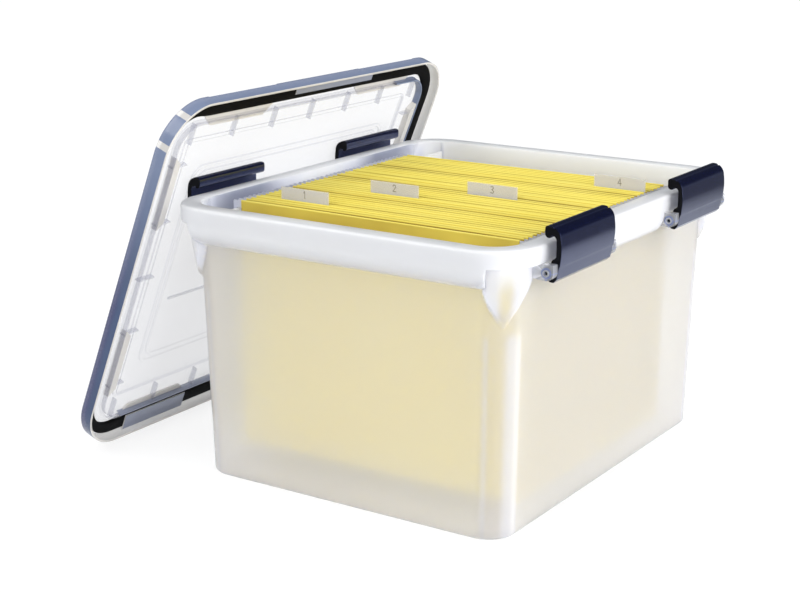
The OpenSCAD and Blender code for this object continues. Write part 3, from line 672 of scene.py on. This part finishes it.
# Painted lighter towards the top of the leaning lid.
high = add_node(tree, "ShaderNodeMapRange", {
    "Value": split.outputs["Z"], "From Min": 0.16, "From Max": 0.3, "To Max": 0.8})
tint = add_node(tree, "ShaderNodeMixRGB", {
    "Fac": high.outputs["Result"], "Color1": banded.outputs["Color"], "Color2": from_hex("#8692AC")})
shine = add_node(tree, "ShaderNodeMapRange", {
    "Value": speckle.outputs["Fac"], "To Min": 0.12, "To Max": 0.24})
bump = add_node(tree, "ShaderNodeBump", {
    "Height": speckle.outputs["Fac"], "Strength": 0.1, "Distance": 0.0006})
shader = add_node(tree, "ShaderNodeBsdfPrincipled", {
    "Base Color": tint.outputs["Color"], "Roughness": shine.outputs["Result"], "IOR": 1.49, "Alpha": 0.95,
    "Normal": bump.outputs["Normal"]})
add_node(tree, "ShaderNodeOutputMaterial", {"Surface": shader.outputs["BSDF"]})
lid_piece.data.materials.append(edge)
lid_piece.data.materials.append(clear_finish("clear_polypropylene_steps_painted_reflection", "#B0B2C4", 0.27, 0.16))
lid_piece.data.materials.append(clear_finish("clear_polypropylene_thick_pad", "#EAE7E2", 0.72, 0.2))
lid_piece.data.materials.append(clear_finish("clear_polypropylene_foam_cover_painted_shade", "#99A0B4", 0.85, 0.16))


def edge_distance(x, y):
    """How far in from the lid's outline a point lies, and its turn round a corner in degrees."""
    over_x, over_y = abs(x) - LID_HALF_W + LID_R, abs(y) - LID_HALF_L + LID_R
    if over_x > 0 and over_y > 0:
        return LID_R - math.hypot(over_x, over_y), math.degrees(math.atan2(over_x, over_y))
    return min(LID_HALF_W - abs(x), LID_HALF_L - abs(y)), None


DEEP_EDGE, STEPS, THICK_PAD, FOAM_COVER = 1, 2, 3, 4
into_lid = lid_pose.inverted()
turn_lid = into_lid.to_3x3()
# Each face gets its finish by where it lies: slate on the edge and far valley as painted shade of the foam
# behind, pale strips at the near corner's arc ends as painted highlights, and grey on steep step faces as
# painted reflection lines.
for face in lid_piece.data.polygons:
    at = into_lid @ (face.center / MM)
    steep = abs((turn_lid @ face.normal).z) < 0.9
    d, turn = edge_distance(at.x, at.y)
    pale_side = at.y > 195 or at.x < -LID_HALF_W + 12
    corner_painted_highlight = turn is not None and at.x > 0 > at.y and (7 < turn < 15 or 48 < turn < 56)
    foot_lip = at.x < -LID_HALF_W + 27.5 and 23.4 < d < 27.5 and abs(at.y) < 175 and at.z < 12.6
    far_valley = at.y > 150 and 19 < d < 27.5 and at.z < 15
    skirt_lip = d < 3.1 and at.z < 0.9
    if face.index in pad_faces:
        face.material_index = THICK_PAD
    elif face.index in strip_faces:
        face.material_index = THICK_PAD if steep else FOAM_COVER
    elif skirt_lip:
        face.material_index = THICK_PAD
    elif d < 1.6:
        face.material_index = THICK_PAD if pale_side or corner_painted_highlight else DEEP_EDGE
    elif foot_lip:
        face.material_index = FOAM_COVER
    elif far_valley:
        face.material_index = DEEP_EDGE
    elif steep and d > 23:
        face.material_index = STEPS

# ---------------------------------------------------------------- gasket
# A strip of black closed-cell foam laid round the lid's channel, its cut
# edges slightly rounded where the knife pulled them.
gasket_form = bmesh.new()
gasket_section = [(5, 9.8), (5.8, 9), (12, 8.95), (18.2, 9), (19, 9.8), (19, 12.9), (5, 12.9)]


def foam_loop(d, z):
    """A line of the strip; at the near end the foam is cut narrower, so the channel's wall hides it."""
    wide, slim = lid_loop(d, z), lid_loop(5 + (d - 5) * 0.6, z)
    loop = []
    for a, b in zip(wide, slim):
        near = ease(LID_SHIFT - a[1], 165, 222)
        loop.append(tuple(Vector(a).lerp(Vector(b), near)))
    return loop


stack_loops(gasket_form, [foam_loop(d, z) for d, z in gasket_section], closed=True)
gasket = new_piece("foam_gasket", finish_mesh("foam_gasket", gasket_form, 50.0), "lid")
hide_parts("lid_gasket")

# Closed-cell foam: a dull black with open pores where it was cut. Real pores
# are too fine to show and are drawn about 1.4 mm wide.
foam, tree = start_finish("closed_cell_foam")
coords = add_node(tree, "ShaderNodeTexCoord")
cells = add_node(tree, "ShaderNodeTexVoronoi", {
    "Vector": coords.outputs["Object"], "Scale": cells_per_metre(1.4286)})
bump = add_node(tree, "ShaderNodeBump", {
    "Height": cells.outputs["Distance"], "Strength": 0.35, "Distance": 0.0006})
shader = add_node(tree, "ShaderNodeBsdfPrincipled", {
    "Base Color": from_hex("#060607"), "Roughness": 0.9, "Specular IOR Level": 0.2,
    "Normal": bump.outputs["Normal"]})
add_node(tree, "ShaderNodeOutputMaterial", {"Surface": shader.outputs["BSDF"]})
gasket.data.materials.append(foam)

# ---------------------------------------------------------------- folders
# Twenty hanging folders in yellow card, folded over a steel rod at the top of
# each leaf and creased along the bottom; the card bows a little between rods.
FIRST_Y, PITCH, POCKET, CARD_HALF, CARD_X = -161.05, 14.6, 8.1, 150.0, 9.5
CARD_LOW, CARD_TOP, PER_SECTION = 26.0, 264.0, 5
SECTION_BODIES = ("box", "files_2", "files_3", "files_4")
LEAF_COLUMNS = 25
drift = [(random.uniform(-0.8, 0.8), random.uniform(-0.8, 0.8)) for _ in range(4 * PER_SECTION)]


def folder_y(section, i, x=0.0):
    """Where a folder hangs at x across the box; each one sits a little off its place and a little askew."""
    number = section * PER_SECTION + i
    off, askew = drift[number]
    return FIRST_Y + PITCH * number + off + askew * x / CARD_HALF


def add_leaf(form, section, i, side, bow, lift):
    """One leaf as a thin sheet: up its face, over the rod, and a short flap down inside."""
    loops = []
    for c in range(LEAF_COLUMNS + 1):
        x = -CARD_HALF + 2 * CARD_HALF * c / LEAF_COLUMNS
        outer = folder_y(section, i, x) + side * (POCKET / 2 + 0.85)
        wave = bow * (1 - (x / CARD_HALF) ** 2) * 0.4
        tip = CARD_TOP - 0.3 + lift + math.sin(x * 0.021 + bow * 9) * 0.12
        face = [(0.02, CARD_LOW + 0.2), (0.05 + wave * 0.5, 90), (0.05 + wave, 200), (0.04 + wave * 0.5, 250)]
        fold = [(0.03, tip - 1.1), (0.3, tip - 0.3), (0.95, tip), (1.6, tip - 0.3), (1.95, tip - 1.1),
                (2.15, 252)]
        back = [(1.85, 252), (1.8, tip - 0.9), (1.5, tip - 0.42), (0.95, tip - 0.33), (0.55, tip - 0.5),
                (0.38, tip - 1.2), (0.38 + wave * 0.5, 250), (0.38 + wave, 200), (0.38 + wave * 0.5, 90),
                (0.36, CARD_LOW + 0.2)]
        loops.append([(CARD_X + x, outer - side * d, z) for d, z in face + fold + back])
    stack_loops(form, loops)


# Dyed manila card, calendered smooth: matt and faintly fibrous, each leaf a
# little different. The top of each fold keeps the bright tone as painted light,
# and the faces just below it are painted brown-gold shade, darker on some leaves
# than others, where the gaps between the leaves run deep.
card, tree = start_finish("yellow_folder_card")
coords = add_node(tree, "ShaderNodeTexCoord")
stretch = add_node(tree, "ShaderNodeMapping", {"Vector": coords.outputs["Object"], "Scale": (0.35, 1.0, 1.0)})
fibre = add_node(tree, "ShaderNodeTexNoise", {
    "Vector": stretch.outputs["Vector"], "Scale": cells_per_metre(2.381), "Detail": 5.0})
mottle = add_node(tree, "ShaderNodeTexNoise", {
    "Vector": coords.outputs["Object"], "Scale": cells_per_metre(90.9), "Detail": 3.0})
tone = add_node(tree, "ShaderNodeMixRGB", {
    "Fac": mottle.outputs["Fac"], "Color1": from_hex("#F6E458"), "Color2": from_hex("#FBF084")})
leaf = add_node(tree, "ShaderNodeNewGeometry")
fade = add_node(tree, "ShaderNodeMapRange", {
    "Value": leaf.outputs["Random Per Island"], "From Min": 0.6, "From Max": 1.0, "To Max": 0.6})
mixed = add_node(tree, "ShaderNodeMixRGB", {
    "Fac": fade.outputs["Result"], "Color1": tone.outputs["Color"], "Color2": from_hex("#E8CC44")})
split = add_node(tree, "ShaderNodeSeparateXYZ", {"Vector": coords.outputs["Object"]})
# Painted light and shade: the top of each fold and the faces low on the card keep the bright tone, and the
# band just below the fold takes the painted shade.
painted_lit_fold = add_node(tree, "ShaderNodeMapRange", {
    "Value": split.outputs["Z"], "From Min": 0.262, "From Max": 0.2632})
below = add_node(tree, "ShaderNodeMapRange", {
    "Value": split.outputs["Z"], "From Min": 0.225, "From Max": 0.242, "To Min": 1.0, "To Max": 0.0})
painted_unshaded_card = add_node(tree, "ShaderNodeMath", {0: painted_lit_fold.outputs[0], 1: below.outputs[0]}, operation="MAXIMUM")
along = add_node(tree, "ShaderNodeMapping", {"Vector": coords.outputs["Object"], "Scale": (0.15, 1.0, 0.15)})
# Painted shade in the gaps: its depth varies at random from leaf to leaf and along each leaf.
gape = add_node(tree, "ShaderNodeTexNoise", {
    "Vector": along.outputs["Vector"], "Scale": cells_per_metre(16.67), "Detail": 2.0})
uneven = add_node(tree, "ShaderNodeMath", {
    0: leaf.outputs["Random Per Island"], 1: gape.outputs["Fac"]}, operation="ADD")
depth = add_node(tree, "ShaderNodeMapRange", {"Value": uneven.outputs[0], "From Min": 0.85, "From Max": 1.5})
shaded = add_node(tree, "ShaderNodeMixRGB", {
    "Fac": depth.outputs[0], "Color1": from_hex("#F0DA5A"), "Color2": from_hex("#946F16")})
painted_gap_shade_mix = add_node(tree, "ShaderNodeMixRGB", {
    "Fac": painted_unshaded_card.outputs[0], "Color1": shaded.outputs["Color"], "Color2": mixed.outputs["Color"]})
bump = add_node(tree, "ShaderNodeBump", {"Height": fibre.outputs["Fac"], "Strength": 0.2, "Distance": 0.0003})
shader = add_node(tree, "ShaderNodeBsdfPrincipled", {
    "Base Color": painted_gap_shade_mix.outputs["Color"], "Roughness": 0.72, "IOR": 1.45, "Normal": bump.outputs["Normal"]})
add_node(tree, "ShaderNodeOutputMaterial", {"Surface": shader.outputs["BSDF"]})

for section, body in enumerate(SECTION_BODIES):
    form = bmesh.new()
    for i in range(PER_SECTION):
        for side in (-1, 1):
            add_leaf(form, section, i, side, random.uniform(0, 0.9), random.uniform(-0.3, 0.18))
        crease = [(-4.85, 26.6), (-4.3, 26.05), (4.3, 26.05), (4.85, 26.6), (4.4, 26.9), (-4.4, 26.9)]
        stack_loops(form, [[(CARD_X + x, folder_y(section, i, x) + py, pz) for py, pz in crease]
                           for x in (-CARD_HALF, 0, CARD_HALF)])
    folders = new_piece(f"folder_cards_{section + 1}", finish_mesh("folder_cards", form, 60.0),
                        body)
    folders.data.materials.append(card)
    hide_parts(f"folders_{section + 1}")

# The rods: flat steel strips, two to a folder, with a pale coating; each end is
# cut to a hook that drops over a rail.
ROD_HALF, ROD_LOW, ROD_TOP, ROD_T, TOOTH = 158.5, 255.8, 262.8, 0.9, 5.0
TOOTH_LOW, ROD_MARK = ROD_LOW - TOOTH, 80
rod_half = [(-ROD_HALF, ROD_TOP - 1.0), (-ROD_HALF, TOOTH_LOW + 0.8), (-ROD_HALF + 0.7, TOOTH_LOW),
            (-ROD_HALF + 2.3, TOOTH_LOW), (-ROD_HALF + 3, TOOTH_LOW + 0.8), (-ROD_HALF + 3, ROD_LOW - 0.5),
            (-ROD_HALF + 3.5, ROD_LOW), (-ROD_MARK, ROD_LOW)]
rod_top = [(ROD_MARK, ROD_TOP), (-ROD_MARK, ROD_TOP), (-ROD_HALF + 1.0, ROD_TOP)]
rod_outline = rod_half + [(-x, z) for x, z in reversed(rod_half)] + [(ROD_HALF - 1.0, ROD_TOP)] + rod_top

# Rolled steel with a pale baked coating: a soft cool-grey sheen, slightly mottled.
coated, tree = start_finish("coated_steel_strip")
coords = add_node(tree, "ShaderNodeTexCoord")
speck = add_node(tree, "ShaderNodeTexNoise", {
    "Vector": coords.outputs["Object"], "Scale": cells_per_metre(6.667), "Detail": 4.0})
shine = add_node(tree, "ShaderNodeMapRange", {"Value": speck.outputs["Fac"], "To Min": 0.3, "To Max": 0.45})
shader = add_node(tree, "ShaderNodeBsdfPrincipled", {
    "Base Color": from_hex("#D3D6E4"), "Metallic": 0.3, "Roughness": shine.outputs["Result"]})
add_node(tree, "ShaderNodeOutputMaterial", {"Surface": shader.outputs["BSDF"]})
for section, body in enumerate(SECTION_BODIES):
    form = bmesh.new()
    for i in range(PER_SECTION):
        for side in (-1, 1):
            inner, outer = sorted((side * (POCKET / 2 - ROD_T), side * POCKET / 2))
            stack_loops(form, [[(RAIL_SHIFT + x, folder_y(section, i, RAIL_SHIFT + x - CARD_X) + dy, z)
                                for x, z in rod_outline] for dy in (inner, outer)])
    rods = new_piece(f"folder_rods_{section + 1}", finish_mesh("folder_rods", form), body)
    ease_edges(rods, 0.15, 2)
    rods.data.materials.append(coated)
    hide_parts(f"rods_{section + 1}")

# ---------------------------------------------------------------- papers
# Each folder holds a sheaf of white office paper whose sheets stand at
# slightly different heights, well below the card.
sheet, tree = start_finish("white_office_paper")
coords = add_node(tree, "ShaderNodeTexCoord")
pulp = add_node(tree, "ShaderNodeTexNoise", {
    "Vector": coords.outputs["Object"], "Scale": cells_per_metre(3.846), "Detail": 4.0})
tone = add_node(tree, "ShaderNodeMixRGB", {
    "Fac": pulp.outputs["Fac"], "Color1": from_hex("#ECEAE2"), "Color2": from_hex("#F8F7F2")})
shader = add_node(tree, "ShaderNodeBsdfPrincipled", {"Base Color": tone.outputs["Color"], "Roughness": 0.8})
add_node(tree, "ShaderNodeOutputMaterial", {"Surface": shader.outputs["BSDF"]})
PAPER_HALF, PAPER_LOW, PAPER_HIGH = 139.5, 27.1, 243.1
SHEETS, SHEET_PITCH, SHEET_HALF_T, SHEET_COLUMNS = 6, 0.95, 0.3, 8
for section, body in enumerate(SECTION_BODIES):
    form = bmesh.new()
    for i in range(PER_SECTION):
        for k in range(SHEETS):
            off = (k - (SHEETS - 1) / 2) * SHEET_PITCH
            top = PAPER_HIGH - random.uniform(0, 5)
            half = PAPER_HALF - random.uniform(0, 2.5)
            loops = []
            for c in range(SHEET_COLUMNS + 1):
                x = -half + 2 * half * c / SHEET_COLUMNS
                middle = folder_y(section, i, x) + off + 0.12 * math.sin(c * 0.8 + k)
                near, far = middle - SHEET_HALF_T, middle + SHEET_HALF_T
                loops.append([(CARD_X + x, y, z)
                              for y, z in ((near, PAPER_LOW), (far, PAPER_LOW), (far, top), (near, top))])
            stack_loops(form, loops)
    papers = new_piece(f"paper_sheaves_{section + 1}", finish_mesh("paper_sheaves", form),
                       body)
    papers.data.materials.append(sheet)
    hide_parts(f"papers_{section + 1}")

# ---------------------------------------------------------------- label tabs
# Folded sleeves of thin clear film, each against the front of a folder's top
# edge, with a paper insert that carries a plain number.
TAB_HALF, TAB_GRIP, TAB_RISE = 27.5, 8.0, 11.0
CARD_T, SLEEVE_HALF_T = 0.9, 0.7
NUMBER_SIZE, HALF_STROKE, NUMBER_LOW, INSERT_HALF_T = 1.3, 0.42, 2.2, 0.15
TAB_FOLDER, TAB_X = (2, 2, 0, 2), (-87.0, -34.5, 47.0, 131.0)

# Extruded clear film: a thin warm veil with a glint, over the label behind it.
film, tree = start_finish("clear_tab_film")
shader = add_node(tree, "ShaderNodeBsdfPrincipled", {
    "Base Color": from_hex("#F2EFE8"), "Roughness": 0.16, "IOR": 1.45, "Alpha": 0.25})
coords = add_node(tree, "ShaderNodeTexCoord")
scuff = add_node(tree, "ShaderNodeTexNoise", {
    "Vector": coords.outputs["Object"], "Scale": cells_per_metre(11.11), "Detail": 3.0})
bump = add_node(tree, "ShaderNodeBump", {"Height": scuff.outputs["Fac"], "Strength": 0.08, "Distance": 0.001})
tree.links.new(bump.outputs["Normal"], shader.inputs["Normal"])
add_node(tree, "ShaderNodeOutputMaterial", {"Surface": shader.outputs["BSDF"]})

# Uncoated label paper: a matt cool white, softly mottled.
label, tree = start_finish("label_paper")
coords = add_node(tree, "ShaderNodeTexCoord")
pulp = add_node(tree, "ShaderNodeTexNoise", {
    "Vector": coords.outputs["Object"], "Scale": cells_per_metre(3.333), "Detail": 4.0})
tone = add_node(tree, "ShaderNodeMixRGB", {
    "Fac": pulp.outputs["Fac"], "Color1": from_hex("#E6E6EA"), "Color2": from_hex("#EBEBEF")})
shader = add_node(tree, "ShaderNodeBsdfPrincipled", {"Base Color": tone.outputs["Color"], "Roughness": 0.75})
add_node(tree, "ShaderNodeOutputMaterial", {"Surface": shader.outputs["BSDF"]})

# Printed grey ink: a matt charcoal that thins out where the paper took less.
ink, tree = start_finish("pencil_grey_ink")
coords = add_node(tree, "ShaderNodeTexCoord")
skip = add_node(tree, "ShaderNodeTexNoise", {
    "Vector": coords.outputs["Object"], "Scale": cells_per_metre(0.66667), "Detail": 2.0})
tone = add_node(tree, "ShaderNodeMixRGB", {
    "Fac": skip.outputs["Fac"], "Color1": from_hex("#2A2A2C"), "Color2": from_hex("#55555A")})
shader = add_node(tree, "ShaderNodeBsdfPrincipled", {"Base Color": tone.outputs["Color"], "Roughness": 0.7})
add_node(tree, "ShaderNodeOutputMaterial", {"Surface": shader.outputs["BSDF"]})
NUMBER_STROKES = ([(-0.9, 4), (0, 5), (0, 0)],
                  [(-1.3, 4), (-0.6, 5), (0.8, 4.8), (1.1, 3.6), (-1.3, 0.1), (1.4, 0)],
                  [(-1.2, 4.7), (0.4, 5), (1.1, 3.9), (-0.2, 2.7), (1.3, 1.5), (0.6, 0.1), (-1.3, 0.4)],
                  [(0.7, 0), (0.5, 5), (-1.4, 1.6), (1.5, 1.7)])
for section, body in enumerate(SECTION_BODIES):
    x0 = TAB_X[section]

    def tab_y(x):
        return folder_y(section, TAB_FOLDER[section], x0 + x - CARD_X) - (POCKET / 2 + CARD_T + SLEEVE_HALF_T)

    form = bmesh.new()
    sleeve = [(-0.7, -TAB_GRIP), (-0.7, TAB_RISE - 0.4), (-0.4, TAB_RISE), (0.4, TAB_RISE),
              (0.7, TAB_RISE - 0.4), (0.7, -TAB_GRIP), (0.35, -TAB_GRIP), (0.35, 0.0), (0.3, 0.7),
              (0.3, TAB_RISE - 0.6),
              (-0.3, TAB_RISE - 0.6), (-0.3, 0.7), (-0.35, 0.0), (-0.35, -TAB_GRIP)]
    stack_loops(form, [[(x0 + x, tab_y(x) + py, CARD_TOP + pz) for py, pz in sleeve]
                       for x in (-TAB_HALF, 0, TAB_HALF)])
    tab = new_piece(f"tab_sleeve_{section + 1}", finish_mesh("tab_sleeve", form), body)
    tab.data.materials.append(film)
    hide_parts(f"tab_{section + 1}")
    form = bmesh.new()
    insert = [(-TAB_HALF + 1.2, -3), (0, -3), (TAB_HALF - 1.2, -3), (TAB_HALF - 0.5, -2.3),
              (TAB_HALF - 0.5, 9.6), (TAB_HALF - 1.2, 10.2), (0, 10.2), (-TAB_HALF + 1.2, 10.2),
              (-TAB_HALF + 0.5, 9.6), (-TAB_HALF + 0.5, -2.3)]
    stack_loops(form, [[(x0 + x, tab_y(x) + dy, CARD_TOP + z) for x, z in insert]
                       for dy in (-INSERT_HALF_T, INSERT_HALF_T)])
    paper_faces = len(form.faces)
    stroke = [(x * NUMBER_SIZE, z * NUMBER_SIZE) for x, z in NUMBER_STROKES[section]]
    for (xa, za), (xb, zb) in zip(stroke, stroke[1:]):
        along = Vector((xb - xa, zb - za)).normalized() * HALF_STROKE
        ends = [(xa - along.x, za - along.y), (xb + along.x, zb + along.y)]
        quad = [(ends[0][0] - along.y, ends[0][1] + along.x), (ends[1][0] - along.y, ends[1][1] + along.x),
                (ends[1][0] + along.y, ends[1][1] - along.x), (ends[0][0] + along.y, ends[0][1] - along.x)]
        stack_loops(form, [[(x0 + x, tab_y(x) + dy, CARD_TOP + NUMBER_LOW + z) for x, z in quad]
                           for dy in (-0.19, -0.16)])
    form.faces.ensure_lookup_table()
    for face in form.faces[paper_faces:]:
        face.material_index = 1
    slip = new_piece(f"tab_insert_{section + 1}", finish_mesh("tab_insert", form), body)
    slip.data.materials.append(label)
    slip.data.materials.append(ink)
    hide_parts(f"tab_card_{section + 1}")

# ---------------------------------------------------------------- studio
# A pale floor that runs out of view, an even white room, and two big soft
# lamps: one above on the left, and one low on the right for the latches.
FLOOR_HALF, FLOOR_Z = 20, -0.0006
floor_mesh = bpy.data.meshes.new("studio_floor")
floor_mesh.from_pydata([(x * FLOOR_HALF, y * FLOOR_HALF, FLOOR_Z)
                        for x, y in ((-1, -1), (1, -1), (1, 1), (-1, 1))], [], [(0, 1, 2, 3)])
floor = bpy.data.objects.new("studio_floor", floor_mesh)
bpy.context.scene.collection.objects.link(floor)
paper_floor, tree = start_finish("pale_studio_floor")
seen = add_node(tree, "ShaderNodeLightPath")
direct = add_node(tree, "ShaderNodeMath", {
    0: seen.outputs["Is Camera Ray"], 1: seen.outputs["Is Transmission Ray"]}, operation="MAXIMUM")
spot = add_node(tree, "ShaderNodeTexCoord")
reach = add_node(tree, "ShaderNodeVectorMath", {0: spot.outputs["Object"]}, operation="LENGTH")
far = add_node(tree, "ShaderNodeMapRange", {
    "Value": reach.outputs["Value"], "From Min": 0.6, "From Max": 1.6}, interpolation_type="SMOOTHSTEP")
bright = add_node(tree, "ShaderNodeMath", {
    0: seen.outputs["Is Transmission Ray"], 1: 0.22, 2: 0.78}, operation="MULTIPLY_ADD")
glow = add_node(tree, "ShaderNodeEmission", {"Color": (1, 1, 1, 1), "Strength": bright.outputs[0]})
dim = add_node(tree, "ShaderNodeBsdfDiffuse", {"Color": from_hex("#898989")})
shown = add_node(tree, "ShaderNodeAddShader", {0: dim.outputs[0], 1: glow.outputs[0]})
matt = add_node(tree, "ShaderNodeBsdfDiffuse", {"Color": from_hex("#F1F1F1")})
both = add_node(tree, "ShaderNodeMixShader", {0: direct.outputs[0], 1: matt.outputs[0], 2: shown.outputs[0]})
fade = add_node(tree, "ShaderNodeMapRange", {"Value": far.outputs[0], "To Min": 1.0, "To Max": 0.18})
mirrored = add_node(tree, "ShaderNodeEmission", {"Color": (0.93, 0.96, 1, 1), "Strength": fade.outputs[0]})
pick = add_node(tree, "ShaderNodeMixShader", {
    0: seen.outputs["Is Glossy Ray"], 1: both.outputs[0], 2: mirrored.outputs[0]})
add_node(tree, "ShaderNodeOutputMaterial", {"Surface": pick.outputs[0]})
floor_mesh.materials.append(paper_floor)

room = bpy.data.worlds.new("white_room")
room.use_nodes = True
bpy.context.scene.world = room
tree = room.node_tree
tree.nodes.clear()
seen = add_node(tree, "ShaderNodeLightPath")
soft = add_node(tree, "ShaderNodeBackground", {"Color": (0.95, 0.97, 1, 1), "Strength": 0.93})
white = add_node(tree, "ShaderNodeBackground", {"Color": (1, 1, 1, 1), "Strength": 1.0})
around = add_node(tree, "ShaderNodeTexCoord")
height = add_node(tree, "ShaderNodeSeparateXYZ", {"Vector": around.outputs["Generated"]})
ceiling = add_node(tree, "ShaderNodeMapRange", {
    "Value": height.outputs["Z"], "From Min": -0.05, "From Max": 0.22, "To Min": 0.3,
    "To Max": 0.04}, interpolation_type="SMOOTHSTEP")
mirrored = add_node(tree, "ShaderNodeBackground", {
    "Color": (0.82, 0.9, 1, 1), "Strength": ceiling.outputs["Result"]})
direct = add_node(tree, "ShaderNodeMath", {
    0: seen.outputs["Is Camera Ray"], 1: seen.outputs["Is Transmission Ray"]}, operation="MAXIMUM")
glossy = add_node(tree, "ShaderNodeMixShader", {
    0: seen.outputs["Is Glossy Ray"], 1: soft.outputs[0], 2: mirrored.outputs[0]})
pick = add_node(tree, "ShaderNodeMixShader", {
    0: direct.outputs[0], 1: glossy.outputs[0], 2: white.outputs[0]})
add_node(tree, "ShaderNodeOutputWorld", {"Surface": pick.outputs[0]})


def soft_lamp(name, spot, aim, size, power, tint):
    """A square soft lamp at spot, aimed at a point."""
    light = bpy.data.lights.new(name, "AREA")
    light.shape = "SQUARE"
    light.size = size
    light.energy = power
    light.color = tint
    lamp = bpy.data.objects.new(name, light)
    lamp.location = spot
    lamp.rotation_euler = (Vector(aim) - Vector(spot)).to_track_quat("-Z", "Y").to_euler()
    bpy.context.scene.collection.objects.link(lamp)


soft_lamp("key_lamp", (-1.2, -1.8, 2.4), (0, 0, 0.15), 1.6, 23, (1.0, 0.98, 0.95))
soft_lamp("side_lamp", (2.6, -0.2, 0.7), (0.1, 0, 0.2), 1.6, 44, (1.0, 0.98, 0.97))
bpy.context.scene.view_settings.view_transform = "Standard"
